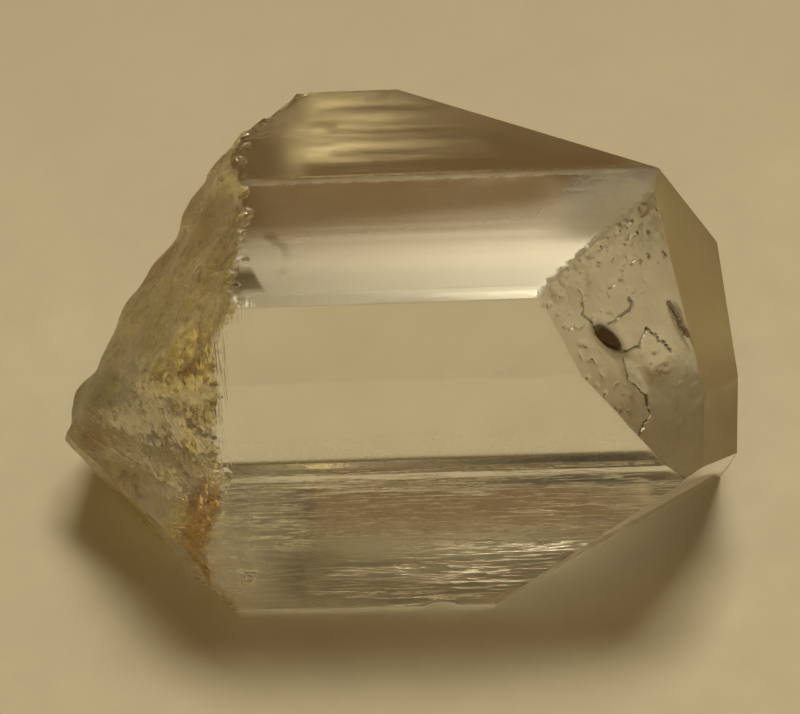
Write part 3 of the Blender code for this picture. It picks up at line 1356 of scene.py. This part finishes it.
@dataclass(frozen=True)
class PaperFinish:
    """Pale paper under the crystal, with painted shade that darkens it towards the back and far off.

    Attributes:
        pale: its colour.
        shade: its colour where the mottle is darker.
        behind: its colour towards the back, painted shade for the light falling off there.
        behind_m: where, along Y, that colour starts and is full.
        far: its colour far off, painted shade for where it is in the dark.
        far_m: how far from the crystal that starts and is full.
        dullness: its roughness.
        mottles_per_m: how fine its mottle is.
    """

    pale: Colour = (0.635, 0.615, 0.535, 1.0)
    shade: Colour = (0.575, 0.55, 0.475, 1.0)
    behind: Colour = (0.52, 0.49, 0.42, 1.0)
    behind_m: tuple[float, float] = (0.012, 0.070)
    far: Colour = (0.16, 0.145, 0.12, 1.0)
    far_m: tuple[float, float] = (0.40, 0.50)
    dullness: float = 0.9
    mottles_per_m: float = 60.0

    def make(self, mottle: bpy.types.NodeTree) -> bpy.types.Material:
        """Builds the material.

        Args:
            mottle: the shared cloudy variation.

        Returns:
            The material.
        """
        material = bpy.data.materials.new("pale_paper")
        material.use_nodes = True
        wiring = Wiring(material.node_tree)
        place = wiring.add("ShaderNodeTexCoord").outputs["Object"]
        cloud = wiring.cloud(mottle, place, self.mottles_per_m)
        away = wiring.vector("LENGTH", place).outputs["Value"]
        toward_back = wiring.add("ShaderNodeSeparateXYZ", {0: place}).outputs["Y"]
        colour = wiring.blend(wiring.span(cloud, 0.35, 0.65), self.shade, self.pale)
        # Painted shade: the paper darkens towards the back, and far off it is nearly dark.
        colour = wiring.blend(wiring.span(toward_back, *self.behind_m), colour, self.behind)
        colour = wiring.blend(wiring.span(away, *self.far_m), colour, self.far)
        bump = wiring.add("ShaderNodeBump", {"Strength": 0.3, "Distance": 0.1 * MM, "Height": cloud})
        shader = material.node_tree.nodes["Principled BSDF"]
        wiring.tree.links.new(colour, shader.inputs["Base Color"])
        wiring.tree.links.new(bump.outputs[0], shader.inputs["Normal"])
        shader.inputs["Roughness"].default_value = self.dullness
        shader.inputs["Specular IOR Level"].default_value = 0.1
        return material


# ---- The crystal ----


# Bundles of open growth grooves on the front wall, by height and by place along the axis.
WALL_STREAKS = (
    Oval(-0.6, 2.0, 0.5, 5.5, 1.0, slant=3.0),
    Oval(-2.6, 12.0, 0.5, 3.2, 0.7),
    Oval(-3.1, 8.4, 0.45, 2.0, 0.8),
    Oval(-6.2, 6.2, 0.6, 3.6, 1.0, slant=2.0),
    Oval(-4.6, 9.8, 0.5, 4.0, 0.7),
    Oval(-5.1, -8.6, 0.9, 2.2, 1.0, slant=-8.0),
    Oval(-3.0, -9.2, 0.8, 1.9, 0.9),
    Oval(-11.2, -1.0, 0.6, 3.4, 0.8, slant=4.0),
    Oval(-12.0, 1.4, 0.4, 1.6, 1.0),
    Oval(-8.6, 1.0, 0.7, 4.4, 0.6),
    Oval(-10.2, 3.6, 0.5, 3.0, 0.6),
)

# Light, flaky patches of the front wall close to the break, which also carry a painted yellow for the
# stained break seen through them, and a patch of painted shade, placed alike.
WALL_PATCHES = (
    Oval(-8.6, -11.2, 2.8, 1.5, 1.0),
    Oval(-5.2, -7.6, 0.9, 1.0, 0.7),
    Oval(-4.4, -12.4, 2.4, 0.7, 0.8),
)
PAINTED_SHADE_ON_WALL = Oval(1.4, -10.9, 2.0, 1.5, 0.6)

# A curved arc of painted shade on the top, standing for a dark reflection inside the stone, along the axis
# and across.
PAINTED_SHADE_ARC = ((-7.8, -2.4), (-6.8, -3.3), (-6.55, -4.4), (-6.75, -5.3))

# On the break, by Y and Z from the middle of the cross-section.
GOLD_STAINS = (
    Oval(-7.8, 8.8, 2.1, 2.8, 1.5),
    Oval(-1.6, 10.4, 1.6, 0.9, 0.7),
    Oval(-10.6, 3.0, 0.8, 3.0, 0.6),
    Oval(-6.4, 4.6, 1.8, 2.2, 0.4),
    Oval(-11.2, -6.6, 1.0, 4.0, 0.6),
    Oval(-3.4, -4.6, 1.2, 1.2, 0.4),
    Oval(-6.6, -0.4, 4.6, 5.4, 0.38),
)
RUST_STAINS = (
    Oval(-12.1, -3.6, 0.8, 4.2, 1.3),
    Oval(-12.6, -8.2, 0.7, 3.2, 1.0),
    Oval(-5.0, -4.0, 0.9, 1.4, 0.6),
    Oval(-3.0, 1.7, 0.6, 0.6, 0.7),
    Oval(-7.4, 5.4, 0.7, 0.9, 0.7),
    Oval(-8.4, 8.4, 0.5, 2.0, 0.8),
    Oval(-9.0, 1.6, 0.5, 1.4, 0.6),
    Oval(-7.4, -0.6, 3.6, 4.6, 0.3),
)
# A darker patch on the break, drawn with the same darker tint.
DARK_BREAK_PATCH = Oval(-6.8, 1.4, 3.4, 3.6, 0.75)

# Growth lines and waves, by the kind of face.
BROAD_LINES = Growth(depth=0.008, width=2.3, length=30.0)
MIDDLING_LINES = Growth(depth=0.004, width=0.8, length=13.0)
SPARSE_GROOVES = Growth(depth=0.010, width=0.7, length=6.0)
WALL_GROOVES = Growth(depth=0.035, width=0.45, length=3.2)
DOME_WAVES = Growth(depth=0.012, width=0.8, length=0.8)


@dataclass
class CrystalMasks:
    """The masks that the material reads, from 0 to 1, at places on the flat-faced crystal.

    A face's own mask is 1 on it and falls to 0 just inside it. Strengths are plain shares.

    Attributes:
        points: the places, in the section's own frame.
        base: the break.
        chip: the shell-shaped chip.
        face_fade_mm: how far inside a face its own mask ends.
        rim_mm: how far up the prism rust and specks reach.
        sheets_mm: how far up it the cleavage sheets reach.
        break_fade_mm: how far up it the break's own look reaches.
        crust_mm: how much further that reaches where the rim is crusted.
        chip_fade_mm: how soft the frost round the chip ends.
        flank_mm: from where to where, forward on the top, it gets worn and falls.
        flank_skew: how much further forward a place counts for each mm along the axis.
        flank_tilt: how steeply the top's front seems to fall.
        strip_at_mm: how far forward the narrow strip begins.
    """

    points: Array
    base: BrokenBase
    chip: Chip
    face_fade_mm: float = 0.08
    rim_mm: float = 1.4
    sheets_mm: float = 2.0
    break_fade_mm: float = 0.35
    crust_mm: float = 1.1
    chip_fade_mm: float = 0.15
    flank_mm: tuple[float, float] = (-1.8, 2.9)
    flank_skew: float = 0.08
    flank_tilt: float = 0.055
    strip_at_mm: float = 7.05

    def __post_init__(self) -> None:
        """Works out once what several masks share."""
        self.x, self.y, self.z = self.points.T
        self.etched = EtchedMarks(self.points)
        self.on_dome = self.on(ETCHED_DOME)
        self.on_end = self.on(END_FACE, END_LOWER, END_BASE)
        self.on_wall = self.on(FRONT_WALL)
        self.on_top = self.on(TOP, TOP_BEVEL, *SOFT_TOP)
        self.near_front = ramp(-self.y, 8.0, 9.5)
        crust = ramp(hills(self.y / 0.9, self.z / 0.7, seed=61), 0.0, 0.9) * self.near_front
        self.broken = self.base.nearness(self.points, self.break_fade_mm + self.crust_mm * crust)
        self.rim = self.base.nearness(self.points, self.rim_mm)
        self.golden = all_stains(GOLD_STAINS, self.y, self.z)
        self.wall_patch = self.on_wall * all_stains(WALL_PATCHES, self.z, self.x)
        self.small_pits = self.etched.pits() * self.etched.near_edges()
        self.dark = self.etched.dark()

    def on(self, *faces: CrystalFace) -> Array:
        """1 on any of some faces, falling to 0 just inside them."""
        depths = [face.reach - self.points @ face.normal() for face in faces]
        return 1.0 - ramp(np.min(depths, axis=0), 0.0, self.face_fade_mm)

    def frost(self) -> Array:
        """Matt: the dome but for its pits and pale patch, the end, worn edges, hidden parts, the chip.

        Returns:
            The mask.
        """
        pale = 0.7 * PALE_PATCH.dent(self.etched.across, self.etched.up)
        near_break_below = 1.0 - ramp(self.x, -12.0, -5.0)
        near_chip = self.chip.distance(self.points)
        parts = (
            self.on_dome * (1.0 - pale) * (1.0 - self.dark) * (1.0 - 0.85 * self.small_pits),
            0.8 * self.on_end,
            0.12 * self.on(*HIDDEN_PRISM),
            0.5 * self.on(BACK_UNDERCUT) * ramp(-self.z, 8.0, 10.5),
            0.5 * self.on(REST_FACE) * near_break_below,
            self.on(CREST, FOOT_EDGE),
            0.6 * self.on(TOP) * ramp(self.x, 9.0, 14.0),
            1.0 - ramp(near_chip, self.chip.radius, self.chip.radius + self.chip_fade_mm),
            0.5 * self.wall_patch,
        )
        return np.max(parts, axis=0)

    def flakes(self) -> Array:
        """Small facets: by the front rim and in the gold of the break, on the dome's top, on the wall.

        Returns:
            The mask.
        """
        patchy = ramp(hills(self.y / 1.6, self.z / 1.6, seed=63), -0.5, 0.3) * ramp(-self.y, 7.5, 9.5)
        on_break = self.broken * np.clip(patchy + 0.8 * self.golden, 0.0, 1.0)
        on_dome = 0.5 * self.on_dome * ramp(self.etched.up, 0.0, 3.0)
        return np.clip(on_break + on_dome + 0.6 * self.wall_patch, 0.0, 1.0)

    def haze(self) -> Array:
        """Yellowish: the break most, the end much, the dome a little, less where it is flaky."""
        parts = (0.12 * self.on_dome, 0.8 * self.on_end, 0.92 * self.broken)
        return np.max(parts, axis=0) * (1.0 - 0.45 * self.flakes())

    def grime(self) -> Array:
        """Dark brown: specks on the break and along its rim, the dome's dark pit, pits and cracks.

        Returns:
            The mask.
        """
        speck = ramp(hills(self.y / 0.30, self.z / 0.30, seed=55), 0.55, 0.85)
        rim_speck = ramp(hills(self.x / 0.32, self.z / 0.40, seed=57), 0.45, 0.85)
        on_break = 0.7 * self.broken * speck + 0.6 * self.rim * self.near_front * rim_speck
        return on_break + self.on_dome * (self.dark + 0.3 * self.small_pits)

    def painted_shade_and_dark_patch(self) -> Array:
        """Painted shade: an arc and a wedge on the top near the break, a patch on the wall; and a darker
        patch on the break.

        Returns:
            The mask.
        """
        curved = 0.40 * (1.0 - ramp(distance_to_path(self.x, self.y, PAINTED_SHADE_ARC), 0.05, 0.50))
        from_end = self.x - (-8.9 + 0.42 * (-4.9 - self.y))
        shade_wedge = 0.8 * (1.0 - ramp(from_end, 0.0, 0.35))
        shade_wedge *= ramp(-self.y, 4.6, 5.1) * (1.0 - ramp(-self.y, 6.9, 7.1))
        on_wall = self.on_wall * PAINTED_SHADE_ON_WALL.stain(self.z, self.x)
        on_break = self.broken * DARK_BREAK_PATCH.stain(self.y, self.z)
        return self.on_top * np.maximum(curved, shade_wedge) + on_wall + on_break

    def _forward(self) -> Array:
        """How far forward a place is on the top, a little skewed along the axis."""
        return np.minimum(-self.y, self.strip_at_mm) + self.flank_skew * self.x

    def slump(self) -> Array:
        """How far the top's front seems to fall, in mm: one smooth field, fading down the prism."""
        fallen = ramp_area(self._forward(), *self.flank_mm)
        foot = ramp_area(self.strip_at_mm + self.flank_skew * self.x, *self.flank_mm)
        return self.flank_tilt * (foot + ramp(self.z, -TOP_LEVEL_MM, 9.0) * (fallen - foot))

    def worn(self) -> Array:
        """Scuffed: the front of the top, and the narrow strip, its left end most."""
        top = self.on_top * ramp(self._forward(), *self.flank_mm) * (1.0 - 0.9 * self.painted_shade_and_dark_patch())
        strip = self.on(FRONT_STRIP) * (0.95 - 0.55 * ramp(self.x, -6.0, 3.0))
        return np.maximum(top, strip)

    def all(self) -> dict[str, Array]:
        """Every mask by name.

        Returns:
            The masks, kept between 0 and 1.
        """
        masks = {
            "frost": self.frost(),
            "broken": self.broken,
            "haze": self.haze(),
            # Painted colour: on the front wall the gold stands for the stained break seen through the
            # stone.
            "gold_stain_and_seen_through": self.broken * self.golden + 0.35 * self.wall_patch,
            "rust": self.rim * all_stains(RUST_STAINS, self.y, self.z),
            "grime": self.grime(),
            "flakes": self.flakes(),
            "painted_shade_and_dark_patch": self.painted_shade_and_dark_patch(),
            "streaks": self.on_wall * (0.06 + all_stains(WALL_STREAKS, self.z, self.x)),
            "sheets": self.base.nearness(self.points, self.sheets_mm) * ramp(-self.y, 7.2, 8.4),
            "slump": self.slump(),
            "worn": self.worn(),
        }
        return {name: np.clip(mask, 0.0, 1.0) for name, mask in masks.items()}


@dataclass
class TopazCrystal:
    """The whole crystal as one closed mesh.

    Attributes:
        finish: its material.
        crease_fade_mm: how far from a face's outline its relief reaches its full depth.
        fine_from_base_mm: how far up the prism from the break the finest net goes.
        fine_round_chip_mm: how far round the shell-shaped chip the finest net goes.
        fine_to_back_mm: how far back it goes.
        painted_arc_from_mm: where the part of the top under the painted shade arc ends, along the axis and
            back.
        flake_gap_mm: how much rim there is to each small chip.
        rim_radius_mm: the smallest and largest radius of the chips along the break.
        rim_sunk_mm: how deep they go in.
        rim_off_mm: how far along the axis from the rim they are.
        dome_radius_mm: the radii of the chips along the etched dome.
        dome_sunk_mm: how deep they go in.
        dome_drop_mm: how far below the dome's edge they are, at most.
        sharp_edge_deg: the angle from which an edge is shaded sharp.
    """

    finish: TopazFinish
    crease_fade_mm: float = 0.35
    fine_from_base_mm: float = 2.4
    fine_round_chip_mm: float = 0.3
    fine_to_back_mm: float = 8.0
    painted_arc_from_mm: tuple[float, float] = (-5.5, -2.0)
    flake_gap_mm: float = 0.35
    rim_radius_mm: tuple[float, float] = (0.35, 1.0)
    rim_sunk_mm: tuple[float, float] = (0.03, 0.10)
    rim_off_mm: tuple[float, float] = (-0.1, 0.7)
    dome_radius_mm: tuple[float, float] = (0.25, 0.7)
    dome_sunk_mm: tuple[float, float] = (0.04, 0.10)
    dome_drop_mm: float = 0.8
    sharp_edge_deg: float = 14.0

    def __post_init__(self) -> None:
        """Sets up the body, the break and the chips, in the section's own frame."""
        self.base = BrokenBase()
        self.body = FlatBody(ALL_FACES)
        self.centre = self._centre()
        self.chip = Chip(np.array(CHIP_AT_MM) - self.centre, CHIP_RADIUS_MM)
        self.chips = [self.chip, *self._dome_chips(), *self._rim_chips()]

    def _centre(self) -> Array:
        """The section's middle in the object's own frame, from the solid's box.

        Returns:
            The place in mm.
        """
        low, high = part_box(NODE)
        corners = self.body.corners
        x = high.x / MM - corners[:, 0].max()
        y = low.y / MM - corners[:, 1].min()
        return np.array((x, y, low.z / MM + REST_FACE.reach))

    def _shared_edges(self, index: int, others: set[int]) -> Iterator[tuple[Array, Array, int]]:
        """The edges that a face shares with any of some other faces.

        Args:
            index: the face.
            others: the other faces.

        Yields:
            Each edge's start, its run, and how many small chips it takes.
        """
        for first, second in round_pairs(self.body.outlines[index]):
            if self.body.planes_at[first] & self.body.planes_at[second] & others:
                start, run = self.body.corners[first], self.body.corners[second] - self.body.corners[first]
                yield start, run, int(np.linalg.norm(run) / self.flake_gap_mm)

    def _rim_chips(self) -> list[Chip]:
        """Shallow shell-shaped flakes along the rim of the break, on faces that point to the front.

        Returns:
            The chips.
        """
        rng = np.random.default_rng(5)
        breaks = {index for index, face in enumerate(self.body.faces) if face.kind is FaceKind.BREAK}
        chips: list[Chip] = []
        for index, face in enumerate(self.body.faces):
            if face.kind is not FaceKind.PRISM or face.hidden:
                continue
            for start, run, count in self._shared_edges(index, breaks):
                for _ in range(count):
                    spot = start + run * rng.random()
                    spot[0] += self.base.coarse(spot[1:2], spot[2:3])[0] + rng.uniform(*self.rim_off_mm)
                    radius = rng.uniform(*self.rim_radius_mm)
                    sunk = rng.uniform(*self.rim_sunk_mm)
                    away = face.normal() + np.array((rng.uniform(-1.2, 0.1), 0.0, 0.0))
                    away += 0.25 * rng.standard_normal(3)
                    chips.append(Chip.sunk_at(spot, away, radius, sunk))
        return chips

    def _dome_chips(self) -> list[Chip]:
        """Small flakes along the etched dome's edge with the top faces.

        Returns:
            The chips.
        """
        rng = np.random.default_rng(23)
        tops = {self.body.faces.index(face) for face in (TOP, TOP_BEVEL, FRONT_STRIP, *SOFT_TOP)}
        out = ETCHED_DOME.normal()
        chips: list[Chip] = []
        for start, run, count in self._shared_edges(self.body.faces.index(ETCHED_DOME), tops):
            for _ in range(count):
                radius = rng.uniform(*self.dome_radius_mm)
                away = out + np.array((0.0, 0.0, 0.5)) + 0.3 * rng.standard_normal(3)
                spot = start + run * rng.random() + (0.0, 0.0, -rng.uniform(0.0, self.dome_drop_mm))
                spot += out * (ETCHED_DOME.reach - spot @ out)
                chips.append(Chip.sunk_at(spot, away, radius, rng.uniform(*self.dome_sunk_mm)))
        return chips

    def _fine_zone(self, points: Array) -> Array:
        """Where the net is finest: near the break, under the painted shade arc and round the chip.

        Args:
            points: places, in the section's own frame.

        Returns:
            True at each such place.
        """
        x, y, z = points.T
        near_base = x - self.base.plane_x(y, z) < self.fine_from_base_mm
        near_base &= (z > -TOP_LEVEL_MM) & (y < self.fine_to_back_mm)
        by_painted_arc = (z > TOP_LEVEL_MM) & (x < self.painted_arc_from_mm[0]) & (y < self.painted_arc_from_mm[1])
        near_chip = self.chip.distance(points) < self.chip.radius + self.fine_round_chip_mm
        return near_base | by_painted_arc | near_chip

    def _growth_relief(self, face: CrystalFace, across: Array, along: Array, seed: int) -> Array:
        """A lengthwise face's growth lines: two widths of soft lines, and open grooves.

        Args:
            face: the face, whose growth says how strong they are.
            across: places on it.
            along: the same places.
            seed: which set of hills.

        Returns:
            How far the places sink, in mm.
        """
        broad = BROAD_LINES.depth * BROAD_LINES.lines(across, along, seed)
        middling = MIDDLING_LINES.depth * MIDDLING_LINES.lines(across, along, seed + 1)
        sparse = ramp(SPARSE_GROOVES.lines(across, along, seed + 3), 0.72, 0.98)
        relief = face.growth * (broad + middling + SPARSE_GROOVES.depth * sparse)
        if face is FRONT_WALL:
            open_lines = ramp(WALL_GROOVES.lines(across, along, 301), 0.1, 0.9)
            relief += WALL_GROOVES.depth * open_lines * all_stains(WALL_STREAKS, across, along)
        return relief

    def _sink(self, net: Net) -> Array:
        """How far each place of the net sinks into the stone along its own face's normal.

        Args:
            net: the net on the flat body.

        Returns:
            The depths in mm, 0 on every edge.
        """
        sink = np.zeros(len(net.points))
        for index, face in enumerate(self.body.faces):
            own = net.owner == index
            if not own.any():
                continue
            across_axis, along_axis = face.axes()
            across, along = net.points[own] @ across_axis, net.points[own] @ along_axis
            inner = ramp(net.margin[own], 0.0, self.crease_fade_mm)
            if face.kind is FaceKind.PRISM:
                sink[own] = self._growth_relief(face, across, along, 100 + 10 * index) * inner
            elif face.kind is FaceKind.ETCHED:
                sink[own] = EtchedMarks(net.points[own]).relief() * inner
            elif face.kind is FaceKind.DOME:
                u, v = across / DOME_WAVES.width, along / DOME_WAVES.length
                sink[own] = DOME_WAVES.depth * rough_hills(u, v, 200 + index, 3) * inner
        return sink

    def _place_all(self, net: Net) -> Array:
        """The net's places with every relief on them, in the section's own frame.

        Args:
            net: the net on the flat body.

        Returns:
            The places in mm.
        """
        owner = np.maximum(net.owner, 0)
        points = net.points - self.body.normals[owner] * self._sink(net)[:, None]
        points = self.base.shape(points)
        for chip in self.chips:
            points = chip.bite(points)
        return points

    def make(self, mottle: bpy.types.NodeTree) -> bpy.types.Object:
        """Builds and dresses the crystal.

        Args:
            mottle: the shared cloudy variation.

        Returns:
            The finished piece.
        """
        net = NetMaker(self.body, self._fine_zone).make()
        masks = CrystalMasks(net.points, self.base, self.chip).all()
        places = (self._place_all(net) + self.centre) * MM
        mesh = bpy.data.meshes.new(PIECE_NAME)
        mesh.from_pydata(places, [], net.triangles)
        for name, mask in masks.items():
            attribute = mesh.attributes.new(name, "FLOAT", "POINT")
            attribute.data.foreach_set("value", mask.astype(np.float32))
        mesh.shade_smooth()
        mesh.set_sharp_from_angle(angle=math.radians(self.sharp_edge_deg))
        mesh.materials.append(self.finish.make(mottle))
        piece = bpy.data.objects.new(PIECE_NAME, mesh)
        bpy.context.scene.collection.objects.link(piece)
        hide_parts(NODE)
        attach(piece, BODY)
        LOG.info("%s: %d points, %d triangles", PIECE_NAME, len(net.points), len(net.triangles))
        return piece


# ---- Floor, light and camera ----


@dataclass(frozen=True)
class SoftPanel:
    """A soft rectangular light that faces the crystal.

    Attributes:
        name: its object's name.
        toward: the direction from the crystal to it.
        distance_m: how far off it is.
        width_m: its size along X.
        depth_m: its size along Y.
        power_w: its power.
        colour: its colour.
    """

    name: str
    toward: Triple
    distance_m: float
    width_m: float
    depth_m: float
    power_w: float
    colour: Triple

    def make(self) -> bpy.types.Object:
        """Builds the light.

        Returns:
            The light.
        """
        light = bpy.data.lights.new(self.name, "AREA")
        light.shape = "RECTANGLE"
        light.size = self.width_m
        light.size_y = self.depth_m
        light.energy = self.power_w
        light.color = self.colour
        panel = bpy.data.objects.new(self.name, light)
        toward = Vector(self.toward).normalized()
        panel.location = toward * self.distance_m
        panel.rotation_euler = toward.to_track_quat("Z", "Y").to_euler()
        bpy.context.scene.collection.objects.link(panel)
        return panel


@dataclass
class Setting:
    """A plain pale floor, one soft lamp with a halo, a faint fill and a dim, plain surround.

    Attributes:
        floor_size_m: the floor's side.
        floor_lines: how many grid lines it has each way.
        floor_drop_m: how far it lies under the crystal.
        lamp: the main light, behind and above.
        fill: the faint warm light from the front.
        halo: the broad weak light round the lamp.
        surround_low: the room's colour low down.
        surround_high: its colour overhead.
        surround_turn: how high, as the sine of the elevation, it starts to change and has.
    """

    floor_size_m: float = 4.0
    floor_lines: int = 9
    floor_drop_m: float = 0.00002
    lamp: SoftPanel = SoftPanel("soft_lamp", (0.18, 0.41, 1.0), 1.2, 0.56, 0.24, 9.45, (1.0, 0.88, 0.60))
    fill: SoftPanel = SoftPanel("front_fill", (-0.27, -0.20, 1.0), 1.2, 0.46, 0.26, 0.58, (1.0, 0.80, 0.38))
    halo: SoftPanel = SoftPanel("lamp_halo", (0.16, 0.38, 1.0), 1.25, 1.0, 0.75, 0.2, (1.0, 0.84, 0.52))
    surround_low: Colour = (0.214, 0.128, 0.050, 1.0)
    surround_high: Colour = (0.08, 0.048, 0.018, 1.0)
    surround_turn: tuple[float, float] = (0.65, 0.97)

    def make_floor(self, mottle: bpy.types.NodeTree) -> bpy.types.Object:
        """The floor: a flat square grid just under the crystal.

        Args:
            mottle: the shared cloudy variation.

        Returns:
            The floor.
        """
        lines = self.floor_lines
        steps = np.linspace(-self.floor_size_m / 2, self.floor_size_m / 2, lines)
        x, y = np.meshgrid(steps, steps, indexing="ij")
        places = np.stack((x, y, np.full_like(x, -self.floor_drop_m)), -1).reshape(-1, 3)
        number = np.arange(lines * lines).reshape(lines, lines)
        quads = np.stack((number[:-1, :-1], number[1:, :-1], number[1:, 1:], number[:-1, 1:]), -1)
        mesh = bpy.data.meshes.new("floor")
        mesh.from_pydata(places, [], quads.reshape(-1, 4))
        mesh.materials.append(PaperFinish().make(mottle))
        floor = bpy.data.objects.new("floor", mesh)
        bpy.context.scene.collection.objects.link(floor)
        return floor

    def make_lights(self) -> None:
        """The three lights."""
        for panel in (self.lamp, self.fill, self.halo):
            panel.make()

    def make_surround(self) -> bpy.types.World:
        """The dim room round the lamp, dimmer overhead than low down.

        Returns:
            The world.
        """
        world = bpy.data.worlds.new("surround")
        world.use_nodes = True
        wiring = Wiring(world.node_tree)
        toward = wiring.add("ShaderNodeTexCoord").outputs["Generated"]
        height = wiring.add("ShaderNodeSeparateXYZ", {0: toward}).outputs["Z"]
        share = wiring.span(height, *self.surround_turn)
        colour = wiring.blend(share, self.surround_low, self.surround_high)
        wiring.tree.links.new(colour, world.node_tree.nodes["Background"].inputs["Color"])
        bpy.context.scene.world = world
        return world


@dataclass
class Viewpoint:
    """The camera: above and in front, turned a little on its own axis.

    Attributes:
        target_mm: what it looks at.
        elevation_deg: how far above the floor it looks from.
        azimuth_deg: how far round from the front, towards +X.
        roll_deg: its turn on its own axis.
        distance_mm: how far from the target it is.
        lens_mm: its focal length.
        sensor_mm: its sensor's width.
        clip_start_m: the nearest that it sees.
    """

    target_mm: Triple = (1.06, -5.27, 16.58)
    elevation_deg: float = 50.0
    azimuth_deg: float = 5.98
    roll_deg: float = -6.387
    distance_mm: float = 153.40
    lens_mm: float = 103.545
    sensor_mm: float = 36.0
    clip_start_m: float = 0.01

    def _axes(self) -> tuple[Vector, Vector, Vector]:
        """Its three directions: to its right, up, and back from the target.

        Returns:
            The directions, each of length one.
        """
        elevation, azimuth = math.radians(self.elevation_deg), math.radians(self.azimuth_deg)
        level = math.cos(elevation)
        back = Vector((math.sin(azimuth) * level, -math.cos(azimuth) * level, math.sin(elevation)))
        right = Vector((math.cos(azimuth), math.sin(azimuth), 0.0))
        up = back.cross(right)
        roll = math.radians(self.roll_deg)
        across = right * math.cos(roll) + up * math.sin(roll)
        return across, up * math.cos(roll) - right * math.sin(roll), back

    def make(self) -> bpy.types.Object:
        """Builds the camera and makes it the scene's own.

        Returns:
            The camera.
        """
        across, upward, back = self._axes()
        turn = Matrix((across, upward, back)).transposed().to_4x4()
        data = bpy.data.cameras.new("camera")
        data.lens = self.lens_mm
        data.sensor_width = self.sensor_mm
        data.clip_start = self.clip_start_m
        data.dof.use_dof = False
        camera = bpy.data.objects.new("camera", data)
        place = (Vector(self.target_mm) + back * self.distance_mm) * MM
        camera.matrix_world = Matrix.Translation(place) @ turn
        bpy.context.scene.collection.objects.link(camera)
        bpy.context.scene.camera = camera
        return camera


def write_sizes() -> None:
    """Brings the scene's view layer up to date."""
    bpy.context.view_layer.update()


def main() -> None:
    """Builds the camera, the setting and the crystal, in that order."""
    logging.basicConfig(level=logging.INFO, format="%(name)s: %(message)s")
    Viewpoint().make()
    setting = Setting()
    mottle = mottle_group()
    setting.make_floor(mottle)
    setting.make_lights()
    setting.make_surround()
    TopazCrystal(TopazFinish()).make(mottle)
    bpy.context.scene.view_settings.view_transform = "Standard"
    write_sizes()


if __name__ == "__main__":
    main()
